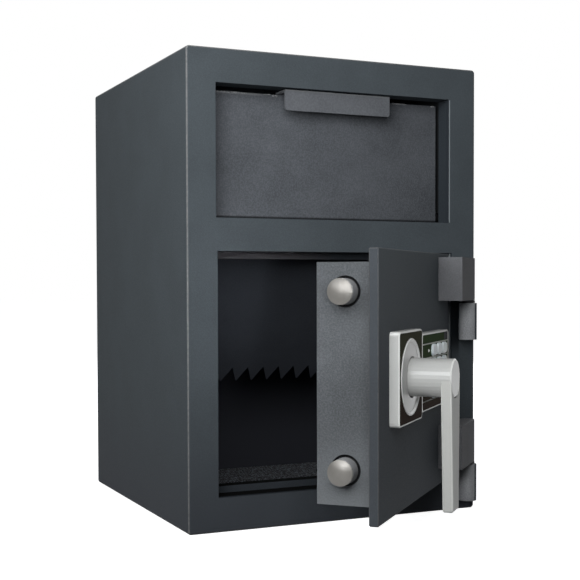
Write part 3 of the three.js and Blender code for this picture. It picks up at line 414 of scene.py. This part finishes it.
def stop_seat_shade(x, y, z):
    """The sill in front of the lower stop and the stop's top, which no light reaches, painted black as shade.
    """
    sill = near(z, SILL, 0.25 * MM, 0.35 * MM)
    top = near(z, STOP_TOP, 0.25 * MM, 0.35 * MM)
    return top * ramp(y, STOP_FACE + 0.5 * MM, STOP_FACE + 0.9 * MM) + sill


lining_paint = powder_coat("lining_powder_coat", (0.025, 0.030, 0.035), rough=0.8)
jamb_paint = powder_coat("jamb_powder_coat", (0.028, 0.032, 0.037), rough=0.8, edge=2.2)
# Painted light on the left part of the upper stop.
painted_over(jamb_paint, upper_stop_light, (0.065, 0.062, 0.067))
# Painted shade on the sill and the lower stop's top.
painted_over(jamb_paint, stop_seat_shade, (0.002, 0.002, 0.002))
wear("hopper_surround", with_material=lining_paint)
wear("door_jamb", with_material=jamb_paint)
round_edges(["door_jamb", "hopper_surround"], 0.4 * MM)

# Hinge knuckles
# Steel cylinders on a narrow web, welded to the front plate. They hold the pins, and their coat is pale and
# coarse, with painted shade on the side away from the door.
AWAY_FROM_DOOR = Vector((0.91, -0.42, 0))
pin_low, pin_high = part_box("hinge_pin_upper")
pin_middle = (pin_low + pin_high) / 2


def reach(x, y, start, way):
    """How far a place lies from start in the level direction way."""
    return (x - start.x) * way.x + (y - start.y) * way.y


# Painted shade on the strip of each knuckle that looks away from the door.
def knuckle_outer_shade(x, y, z):
    return ramp(reach(x, y, pin_middle, AWAY_FROM_DOOR), 6.8 * MM, 7.2 * MM)


knuckle_paint = powder_coat(
    "knuckle_powder_coat", (0.34, 0.345, 0.355), rough=0.7, shade=0.4, pebble=1 * MM, depth=0.3 * MM
)
# Painted shade on the knuckles' side away from the door.
painted_over(knuckle_paint, knuckle_outer_shade, (0.02, 0.026, 0.034))
wear("hinge_knuckle_upper", "hinge_knuckle_lower", with_material=knuckle_paint)
round_edges(["hinge_knuckle_upper", "hinge_knuckle_lower"], 0.5 * MM)

# Door
# A thick steel plate that swings on the hinge pins and stands open at rest. Its coat is a shade darker than
# the body's and a little smoother, with painted light on the upper part of its outer face and painted
# highlights on broken edges.
DOOR_RECESS = 7.5
hinge = next(joint for joint in frame["joints"] if joint["name"] == "door_hinge")
hinge_place = Vector(hinge["pos_m"])
open_angle = math.radians(-hinge["range_deg"][0])
door_turn = Matrix.Rotation(open_angle, 3, "Z")
out_of_door = door_turn @ Vector((0, -1, 0))


def on_door(x, y):
    """A place of the shut door, in millimetres from the middle and the front face, moved with the door."""
    shut = Vector((x * MM, front_face + y * MM, 0))
    pivot = Vector((hinge_place.x, hinge_place.y, 0))
    return door_turn @ (shut - pivot) + pivot


door_outer = on_door(0, DOOR_RECESS)


def upper_face_light(x, y, z):
    """The upper part of the door's outer face, painted lighter as painted light."""
    proud = reach(x, y, door_outer, out_of_door)
    return 0.6 * ramp(z, 0.16, 0.31) * ramp(proud, -0.9 * MM, -0.3 * MM)


door_paint = powder_coat(
    "door_powder_coat", (0.044, 0.049, 0.055), rough=0.8, shade=0.1, gloss=0.1, edge=1.8, turn=open_angle
)
# Painted light: the upper outer face is lighter.
painted_over(door_paint, upper_face_light, (0.078, 0.089, 0.097))
wear("door_plate", with_material=door_paint)
round_edges(["door_plate"], 0.4 * MM)

# Hinge blocks
# Solid steel blocks bolted to the door's face and bored for the pins, with a coarser, paler coat.
block_paint = powder_coat(
    "hinge_block_coat", (0.112, 0.113, 0.119), rough=0.8, shade=0.2, pebble=1.1 * MM, gloss=0.12
)
wear("hinge_block_upper", "hinge_block_lower", with_material=block_paint)
round_edges(["hinge_block_upper", "hinge_block_lower"], 0.5 * MM)

# Deposit drawer
# Bent sheet with a rougher, warmer grey coat, with painted shade towards its right end and at its foot, and a
# painted highlight on its top edge. The pull, hooked over the panel's top edge, is a shade lighter, with a
# painted highlight along its crest.
panel_low, panel_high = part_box("hopper_front")
pull_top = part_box("hopper_pull")[1].z


# Painted shade: the panel is darker towards its right end, and slightly darker all over.
def right_end_shade(x, y, z):
    return 0.22 * ramp(x, -0.08, 0.13) + 0.04


def panel_foot_shade(x, y, z):
    """Painted shade on the panel's foot, down in the gap above the cross rail."""
    return 0.8 * (1 - ramp(z, panel_low.z + 0.8 * MM, panel_low.z + 3 * MM))


def top_edge_highlight(x, y, z):
    """A painted highlight on the panel's top edge, left of the pull."""
    return 0.7 * ramp(z, panel_high.z - 3.2 * MM, panel_high.z - 1.2 * MM) * (1 - ramp(x, -0.09, -0.07))


# A painted highlight along the pull's top edge.
def pull_crest_highlight(x, y, z):
    return 0.7 * ramp(z, pull_top - 2 * MM, pull_top - 0.8 * MM)


hopper_paint = powder_coat(
    "drawer_powder_coat",
    (0.0795, 0.0855, 0.0945),
    rough=0.7,
    shade=0.32,
    pebble=1.5 * MM,
    depth=0.7 * MM,
    warm=0.3,
)
# Painted shade towards the panel's right end.
painted_over(hopper_paint, right_end_shade, (0, 0, 0))
# Painted shade at the panel's foot.
painted_over(hopper_paint, panel_foot_shade, (0, 0, 0))
# Painted highlight on the panel's top edge.
painted_over(hopper_paint, top_edge_highlight, (0.15, 0.153, 0.158))
pull_paint = powder_coat(
    "pull_powder_coat", (0.092, 0.096, 0.104), rough=0.65, shade=0.2, pebble=2 * MM, depth=0.4 * MM
)
# Painted highlight along the pull's crest.
painted_over(pull_paint, pull_crest_highlight, (0.15, 0.155, 0.16))
cheek_names = ["hopper_cheek_left", "hopper_cheek_right"]
wear("hopper_front", "hopper_floor", *cheek_names, with_material=hopper_paint)
wear("hopper_pull", with_material=pull_paint)
round_edges(["hopper_front", "hopper_pull", *cheek_names], 0.4 * MM)

# Weld beads
# Thin uneven beads along the top edge of the drawer's panel and beside its pull, with bright worn crests.
BEAD_SIDES = 8
BEAD_STEP = 1.2 * MM
bead_steel, shader, at = material("weld_bead")
crest = ramp(cloud(at, 1.2 * MM, 3, 0.7), 0.42, 0.7)
feed(at.tree, shader.inputs["Base Color"], blend(crest, (0.09, 0.094, 0.10), (0.34, 0.345, 0.35)))
feed(at.tree, shader.inputs["Roughness"], 0.7 - 0.2 * crest)
feed(at.tree, shader.inputs["Normal"], bump(crest, 0.5, 0.2 * MM))


def weld_bead(name, start, end, radius, below=0.4 * MM):
    """A lumpy bead along the panel's top front edge from start to end, in metres across the safe."""
    steps = max(4, round((end - start) / BEAD_STEP))
    mesh = bmesh.new()
    rings = []
    for i in range(steps + 1):
        x = start + (end - start) * i / steps
        close = min(1, 4 * i / steps, 4 * (steps - i) / steps) ** 0.5
        lump = noise.noise(Vector((x / (2.6 * MM), 0, radius / MM)))
        swell = radius * (0.12 + 0.88 * close) * (1 + 0.45 * lump)
        wander = 0.3 * MM * noise.noise(Vector((x / (5 * MM), 3, 0)))
        middle = Vector((x, panel_low.y, panel_high.z - below + wander))
        ring = []
        for k in range(BEAD_SIDES):
            angle = 2 * math.pi * k / BEAD_SIDES
            ring.append(mesh.verts.new(middle + swell * Vector((0, math.cos(angle), math.sin(angle)))))
        rings.append(ring)
    for one, two in zip(rings, rings[1:]):
        for k in range(BEAD_SIDES):
            after = (k + 1) % BEAD_SIDES
            mesh.faces.new([one[k], one[after], two[after], two[k]])
    mesh.faces.new(reversed(rings[0]))
    mesh.faces.new(rings[-1])
    bmesh.ops.recalc_face_normals(mesh, faces=mesh.faces)
    data = bpy.data.meshes.new(name)
    mesh.to_mesh(data)
    mesh.free()
    data.materials.append(bead_steel)
    bead = bpy.data.objects.new(name, data)
    bpy.context.scene.collection.objects.link(bead)
    smooth(bead, 60)
    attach(bead, "hopper")


weld_bead("weld_left", -0.134, -0.098, 0.9 * MM, 0.6 * MM)
weld_bead("weld_pull_left", -0.079, -0.070, 0.6 * MM, 0.3 * MM)
weld_bead("weld_pull_corner", -0.0690, -0.0615, 1.3 * MM, 1.3 * MM)
weld_bead("weld_right", 0.080, 0.101, 0.7 * MM)
weld_bead("weld_corner", 0.1315, 0.1375, 1.0 * MM, 0.8 * MM)

# Chute, baffle and side plates
# Steel sheet behind the drawer. The chute and the baffle have a matt coat in the body's colour, and the
# plates that carry the drawer are painted near black as shade, so the gaps beside the drawer stay dark.
inner_paint = powder_coat("inner_powder_coat", (0.048, 0.052, 0.062), rough=0.8)
# Painted shade: the drawer's side plates are near black.
shade_primer = powder_coat("inner_shade_primer", (0.012, 0.013, 0.014), rough=0.8)
wear("chute_plate", "rear_baffle", with_material=inner_paint)
wear("hopper_side_left", "hopper_side_right", with_material=shade_primer)

# Bolt box
# Folded steel box welded to the inner face of the door, lighter grey with coarse pebbles, and lighter still
# towards its foot as painted light. The cut edges of its bolt holes are painted black as shade.
HOLE_EDGE = 15.1 * MM
BOX_WALL = 3 * MM
BOLT_HEIGHTS = (85.1 * MM, 254.8 * MM)
bolt_along = door_turn @ Vector((-1, 0, 0))
box_edge = on_door(-111.5, 48.4)


def hole_wall_shade(x, y, z):
    """1 inside the two bolt holes, through the thickness of the box's edge alone, which is painted black as
    shade.
    """
    aside = reach(x, y, box_edge, out_of_door)
    walls = 0
    for height in BOLT_HEIGHTS:
        radius = (aside**2 + (z - height) ** 2) ** 0.5
        walls = (1 - ramp(radius, HOLE_EDGE - 0.1 * MM, HOLE_EDGE)) + walls
    return walls * (1 - ramp(reach(x, y, box_edge, -bolt_along), BOX_WALL, BOX_WALL + 0.2 * MM))


# Painted light: the coat is lighter towards the foot.
box_paint = powder_coat(
    "bolt_box_coat",
    (0.0875, 0.0925, 0.098),
    rough=0.75,
    shade=0.32,
    pebble=1.7 * MM,
    depth=0.6 * MM,
    foot=(0.15, 0.156, 0.162),
)
# Painted shade inside the bolt holes.
painted_over(box_paint, hole_wall_shade, (0.002, 0.002, 0.002))
wear("bolt_box", "box_cover", with_material=box_paint)
round_edges(["box_cover"], 0.4 * MM)

# Bolts
# Turned steel bars that slide out of the box's edge. The domed ends are polished, and the shanks behind them
# stay dull grey, painted black as shade where they lie inside the box.
DOME_START = 15.2 * MM


def bolt_steel(name):
    made, shader, at = material(name)
    x, y, _ = axes(at)
    out = reach(x, y, box_edge, bolt_along)
    polished = ramp(out, DOME_START, DOME_START + 0.6 * MM)
    marks = cloud(at, 0.9 * MM, 3, 0.6)
    haze = cloud(at, 9 * MM, 2)
    dull = blend(marks, (0.22, 0.22, 0.225), (0.32, 0.32, 0.32))
    # Painted shade: the shank is black inside the box.
    shank_and_shade = blend(ramp(out, -0.4 * MM, 0.2 * MM), (0.003, 0.003, 0.003), dull)
    cap = blend(haze, (0.115, 0.108, 0.098), (0.155, 0.148, 0.138))
    feed(at.tree, shader.inputs["Base Color"], blend(polished, shank_and_shade, cap))
    feed(at.tree, shader.inputs["Roughness"], 0.6 - 0.26 * polished + 0.08 * haze)
    feed(at.tree, shader.inputs["Normal"], bump(marks, 0.2, 0.03 * MM))
    feed(at.tree, shader.inputs["Metallic"], 0.1 + 0.5 * polished)
    return made


wear("bolt_upper", "bolt_lower", with_material=bolt_steel("bolt_steel"))
for name in ("bolt_upper", "bolt_lower"):
    smooth(nodes[name], 30)


# Plain steel parts
# Pins, cam and carriage are zinc plated and dull, with a faint grain along the metal. The washers are dark
# with oil, and the guides are blackened. The drawer's studs are blackened too, as painted shade in the gap
# beside the drawer's panel.
def plated_steel(name, color, rough):
    made, shader, at = material(name)
    grain = cloud(at, 1.2 * MM, 3, 0.6, (1, 1, 6))
    stain = cloud(at, 14 * MM, 2)
    dark = [c * 0.78 for c in color]
    feed(at.tree, shader.inputs["Base Color"], blend(ramp(stain, 0.3, 0.7), dark, color))
    feed(at.tree, shader.inputs["Roughness"], rough + 0.14 * grain)
    feed(at.tree, shader.inputs["Normal"], bump(grain, 0.25, 0.05 * MM))
    shader.inputs["Metallic"].default_value = 1
    return made


plain_steel = plated_steel("plated_steel", (0.36, 0.37, 0.39), 0.34)
washer_steel = plated_steel("washer_steel", (0.03, 0.03, 0.032), 0.6)
black_steel_and_shade = plated_steel("blackened_steel_and_shade", (0.012, 0.012, 0.013), 0.6)
pin_names = ["hinge_pin_upper", "hinge_pin_lower", "blocking_pin"]
plated_names = ["bolt_carriage", "handle_spindle", "bolt_cam", *pin_names]
washer_names = ["hinge_washer_upper", "hinge_washer_lower"]
stud_names = ["hopper_pivot_left", "hopper_pivot_right", "hopper_stop_left", "hopper_stop_right"]
wear(*plated_names, with_material=plain_steel)
wear(*washer_names, with_material=washer_steel)
# Blackened steel; on the drawer's studs its near black is painted shade.
wear("bolt_guide_upper", "bolt_guide_lower", *stud_names, with_material=black_steel_and_shade)
for name in plated_names + stud_names + washer_names:
    smooth(nodes[name], 35)


# Lock and handle
# Die cast, with a satin silver-grey coat that carries a fine metallic speckle, and painted highlights on
# broken edges and chamfers. The housing is one casting on the door's face, and the hub and the blade turn
# together on the spindle.
def outward(at):
    """How far a face looks out of the door, from -1 to 1."""
    x, y, _ = facing(at)
    return x * out_of_door.x + y * out_of_door.y


def satin_cast(name, color, corners, front=1.0, polish=0.12):
    """corners gives a factor that is 1 where highlights are painted, on broken edges and chamfers. front is
    how much of the lacquer is left on the faces that look out of the door."""
    made, shader, at = material(name)
    turned = 1 - (1 - front) * ramp(outward(at), 0.95, 0.985)
    speck = cloud(at, 0.45 * MM, 2, 0.7)
    soft = cloud(at, 22 * MM, 2)
    dark = [c * 0.9 for c in color]
    light = [min(1, c * 1.75) for c in color]
    coat = blend(ramp(speck, 0.3, 0.7), dark, color)
    feed(at.tree, shader.inputs["Base Color"], blend(corners(at), coat, light))
    feed(at.tree, shader.inputs["Roughness"], 0.45 + 0.1 * speck + 0.06 * soft)
    feed(at.tree, shader.inputs["Normal"], bump(speck, 0.2, 0.02 * MM))
    feed(at.tree, shader.inputs["Coat Weight"], (0.75 + 0.15 * soft) * turned)
    shader.inputs["Specular IOR Level"].default_value = 0.08
    shader.inputs["Coat Roughness"].default_value = polish
    return made


def on_chamfer(at):
    """1 on the chamfer round the hub's end, which leans between outward and sideways; a highlight is painted
    there.
    """
    return ramp(outward(at), 0.35, 0.5) * (1 - ramp(outward(at), 0.85, 0.93))


def corner_highlight(at):
    # Painted highlights on the broken edges of the housing and the blade.
    return across_corner(at, open_angle) * 0.6


POCKET = 21 * MM
spindle_low, spindle_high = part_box("handle_spindle")
spindle_middle = (spindle_low + spindle_high) / 2


def hub_pocket_shade(x, y, z):
    """1 in the housing's bore behind the rose, painted near black as shade."""
    aside = reach(x, y, spindle_middle, bolt_along)
    return 1 - ramp((aside**2 + (z - spindle_middle.z) ** 2) ** 0.5, POCKET - 0.2 * MM, POCKET)


blade_coat = satin_cast("silver_grey_blade_coat", (0.475, 0.475, 0.45), corner_highlight, front=0.19)
hub_coat = satin_cast("silver_grey_hub_coat", (0.43, 0.43, 0.415), on_chamfer, polish=0.24)
rose_coat = satin_cast("silver_grey_rose_coat", (0.47, 0.47, 0.46), on_chamfer, polish=0.3)
housing_coat = satin_cast("silver_grey_housing_coat", (0.55, 0.55, 0.53), corner_highlight, polish=0.2)
# Painted shade in the bore behind the rose.
painted_over(housing_coat, hub_pocket_shade, (0.01, 0.01, 0.01))
wear("handle_rose", with_material=rose_coat)
wear("handle_hub", with_material=hub_coat)
wear("handle_blade", with_material=blade_coat)
wear("lock_housing", with_material=housing_coat)
round_edges(["lock_housing", "handle_blade"], 0.4 * MM)
for name in ("handle_rose", "handle_hub"):
    smooth(nodes[name], 30)

# Overlays
# Printed film let into the lock: dark green fading to dark brown. The keypad's film has pale rules
# between the rows of keys, a grey panel above them and a pale frame at its end.
KEYPAD_RULES = (200.1 * MM, 185.5 * MM, 170.9 * MM, 156.3 * MM, 141.7 * MM)
PANEL_WIDTH = 21 * MM
PANEL_FOOT = 201.2 * MM
FRAME_WIDTH = 4.3 * MM
keypad_end = (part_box("keypad_inlay")[1] - spindle_middle).dot(-bolt_along)


def printed_film(name, green, rules=(), right_end=None):
    """rules gives the heights of the pale lines, right_end how far from the spindle the film ends."""
    made, shader, at = material(name)
    x, y, z = axes(at)
    print_grain = cloud(at, 0.5 * MM, 1)
    relief = print_grain
    ink = blend(ramp(z, 0.128, 0.200), (0.018, 0.010, 0.007), green)
    if right_end:
        along = reach(x, y, spindle_middle, -bolt_along)
        above = ramp(z, PANEL_FOOT, PANEL_FOOT + 0.4 * MM)
        panel = ramp(along, right_end - PANEL_WIDTH, right_end - PANEL_WIDTH + 0.5 * MM) * above
        ink = blend(panel, ink, (0.055, 0.055, 0.062))
        pale = ramp(along, right_end - FRAME_WIDTH, right_end - FRAME_WIDTH + 0.4 * MM)
        for height in rules:
            pale = pale.larger(near(z, height, 0.45 * MM, 0.75 * MM))
        ink = blend(pale, ink, (0.8, 0.8, 0.75))
        relief = print_grain * 0.3 + pale
    feed(at.tree, shader.inputs["Base Color"], ink)
    feed(at.tree, shader.inputs["Roughness"], 0.78 + 0.12 * print_grain)
    feed(at.tree, shader.inputs["Normal"], bump(relief, 0.15, 0.05 * MM))
    shader.inputs["Specular IOR Level"].default_value = 0.05
    return made


handle_film = printed_film("handle_film", (0.028, 0.028, 0.017))
keypad_film = printed_film("keypad_film", (0.016, 0.029, 0.009), KEYPAD_RULES, keypad_end)
wear("handle_inlay", with_material=handle_film)
wear("keypad_inlay", with_material=keypad_film)

# Keys
# Moulded silicone caps, cold white with darker feet painted as shade between the keys. The numbers are
# printed, plain and generic.
KEY_DEPTH = 7.2 * MM
NUMBER_SIZE = 7.5 * MM
NUMBER_PROUD = 0.03 * MM
key_low, key_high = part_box("key_5")
key_middle = (key_low + key_high) / 2
key_plastic, shader, at = material("key_silicone")
x, y, _ = axes(at)
proud = reach(x, y, key_middle, out_of_door)
# Painted shade: the keys' feet are dark and their tops white.
key_top_unshaded = ramp(proud, KEY_DEPTH / 2 - 2.2 * MM, KEY_DEPTH / 2 - 0.9 * MM)
key_white = blend(cloud(at, 6 * MM, 2), (0.68, 0.74, 0.75), (0.80, 0.86, 0.87))
feed(at.tree, shader.inputs["Base Color"], blend(key_top_unshaded, (0.06, 0.07, 0.06), key_white))
feed(at.tree, shader.inputs["Roughness"], 0.38 + 0.1 * cloud(at, 0.6 * MM, 2))
feed(at.tree, shader.inputs["Normal"], bump(cloud(at, 0.5 * MM, 2), 0.15, 0.03 * MM))
shader.inputs["Subsurface Weight"].default_value = 0.05
key_names = [name for name in nodes if name.startswith("key_")]
wear(*key_names, with_material=key_plastic)
round_edges(key_names, 0.35 * MM)

key_ink, shader, at = material("key_ink")
ink_shade = blend(cloud(at, 0.4 * MM, 1), (0.05, 0.05, 0.06), (0.12, 0.11, 0.12))
feed(at.tree, shader.inputs["Base Color"], ink_shade)
shader.inputs["Roughness"].default_value = 0.5
key_signs = {"clear": "C", "enter": "E"}
for name in sorted(key_names):
    low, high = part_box(name)
    sign = name.removeprefix("key_")
    text = bpy.data.curves.new(f"number_{sign}", "FONT")
    text.body = key_signs.get(sign, sign)
    text.size = NUMBER_SIZE
    text.align_x = "CENTER"
    text.align_y = "CENTER"
    text.extrude = 0.04 * MM
    text.materials.append(key_ink)
    number = bpy.data.objects.new(f"number_{sign}", text)
    number.rotation_euler = Euler((math.pi / 2, 0, open_angle))
    number.location = (low + high) / 2 + out_of_door * (KEY_DEPTH / 2 + NUMBER_PROUD)
    bpy.context.scene.collection.objects.link(number)
    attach(number, name)

# Status lamp
# A small clear plastic lens, pressed into the housing beside the keys.
lamp_lens, shader, at = material("lamp_lens")
lens_tint = blend(cloud(at, 1.2 * MM, 2), (0.6, 0.62, 0.58), (0.75, 0.75, 0.7))
feed(at.tree, shader.inputs["Base Color"], lens_tint)
shader.inputs["Roughness"].default_value = 0.15
shader.inputs["Coat Weight"].default_value = 0.6
wear("status_lamp", with_material=lamp_lens)

# Lock case
# Black moulded box behind the keypad, inside the bolt box.
case_plastic, shader, at = material("case_plastic")
case_black = blend(cloud(at, 5 * MM, 2), (0.010, 0.010, 0.012), (0.02, 0.02, 0.022))
feed(at.tree, shader.inputs["Base Color"], case_black)
feed(at.tree, shader.inputs["Roughness"], 0.45 + 0.15 * cloud(at, 0.7 * MM, 2))
feed(at.tree, shader.inputs["Normal"], bump(cloud(at, 0.7 * MM, 2), 0.3, 0.05 * MM))
wear("lock_case", with_material=case_plastic)
round_edges(["lock_case"], 1 * MM, 3)

# Carpet mat
# Needled carpet in dark grey, laid loose on the floor and cut out round the anchor holes. It is a fine
# sheet of cells, lumpy on top, with the colour of its loops in the material.
CELL = 3 * MM
HOLE = 10.5 * MM
hole_places = [(x, y) for x in (-0.1145, 0.1145) for y in (-0.0965, 0.0965)]
mat_low, mat_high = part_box("floor_mat")
mat_width = mat_high.x - mat_low.x
mat_length = mat_high.y - mat_low.y
columns = round(mat_width / CELL)
rows = round(mat_length / CELL)


def snapped(x, y):
    """Pulls a point near a hole onto its rim."""
    for hx, hy in hole_places:
        off = Vector((x - hx, y - hy))
        if off.length < HOLE + 0.6 * CELL:
            off = off.normalized() * HOLE if off.length > 0 else Vector((HOLE, 0))
            return hx + off.x, hy + off.y
    return x, y


def in_hole(i, j):
    x = mat_low.x + mat_width * (i + 0.5) / columns
    y = mat_low.y + mat_length * (j + 0.5) / rows
    return any(math.hypot(x - hx, y - hy) < HOLE for hx, hy in hole_places)


mat_mesh = bmesh.new()
top = {}
under = {}
for i in range(columns + 1):
    for j in range(rows + 1):
        x, y = snapped(mat_low.x + mat_width * i / columns, mat_low.y + mat_length * j / rows)
        rim = i in (0, columns) or j in (0, rows)
        lump = noise.noise(Vector((x, y, 0)) / (4.2 * MM)) + 0.6 * noise.noise(Vector((x, y, 7)) / (1.9 * MM))
        rise = (0.3 * lump - 0.35 - 0.5 * rim) * MM
        top[i, j] = mat_mesh.verts.new((x, y, mat_high.z + min(rise, 0)))
        under[i, j] = mat_mesh.verts.new((x, y, mat_low.z))
kept = {(i, j) for i in range(columns) for j in range(rows) if not in_hole(i, j)}
for i, j in kept:
    ring = [(i, j), (i + 1, j), (i + 1, j + 1), (i, j + 1)]
    mat_mesh.faces.new([top[corner] for corner in ring])
    mat_mesh.faces.new([under[corner] for corner in reversed(ring)])
    for k, beside in enumerate(((i, j - 1), (i + 1, j), (i, j + 1), (i - 1, j))):
        if beside not in kept:
            a, b = ring[k], ring[(k + 1) % 4]
            mat_mesh.faces.new([top[b], top[a], under[a], under[b]])
loose = [vert for vert in mat_mesh.verts if not vert.link_faces]
bmesh.ops.delete(mat_mesh, geom=loose)
mat_data = bpy.data.meshes.new("carpet_mat")
mat_mesh.to_mesh(mat_data)
mat_mesh.free()
carpet_mat = bpy.data.objects.new("carpet_mat", mat_data)
bpy.context.scene.collection.objects.link(carpet_mat)
smooth(carpet_mat, 60)

carpet, shader, at = material("needled_carpet")
tufts = at.make("ShaderNodeTexVoronoi", {"Vector": at, "Scale": 1 / (2.2 * MM)})
fluff = cloud(at, 1.1 * MM, 2, 0.6, (1, 0.2, 1))
worn = cloud(at, 45 * MM, 3)
tint = ramp(fluff, 0.52, 0.58) * (0.8 + 0.2 * worn)
feed(at.tree, shader.inputs["Base Color"], blend(tint, (0.002, 0.0022, 0.0028), (0.22, 0.25, 0.30)))
feed(at.tree, shader.inputs["Normal"], bump(fluff - 0.8 * tufts, 0.9, 0.6 * MM))
shader.inputs["Roughness"].default_value = 0.95
shader.inputs["Sheen Weight"].default_value = 0.05
mat_data.materials.append(carpet)
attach(carpet_mat, "body")
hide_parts("floor_mat")

# Floor
# A plain pale floor, part of the stage. It runs into the white room and keeps the safe's soft shadow.
FLOOR_HALF = 15
floor_mesh = bpy.data.meshes.new("stage_floor")
corners = [(-1, -1), (1, -1), (1, 1), (-1, 1)]
floor_mesh.from_pydata([(x * FLOOR_HALF, y * FLOOR_HALF, 0) for x, y in corners], [], [(0, 1, 2, 3)])
floor = bpy.data.objects.new("stage_floor", floor_mesh)
floor.location.z = -0.5 * MM
bpy.context.scene.collection.objects.link(floor)
floor_paint, shader, at = material("stage_floor")
shader.inputs["Base Color"].default_value = (0.9, 0.9, 0.9, 1)
shader.inputs["Roughness"].default_value = 0.9
shader.inputs["Specular IOR Level"].default_value = 0
shader.inputs["Emission Color"].default_value = (1, 1, 1, 1)
shader.inputs["Emission Strength"].default_value = 0.92
matt = at.make("ShaderNodeBsdfDiffuse", {"Color": (0.05, 0.05, 0.05, 1)})
seen_or_lit(at.tree, "Material Output", matt, Socket(at.tree, shader.outputs[0]))
floor_mesh.materials.append(floor_paint)
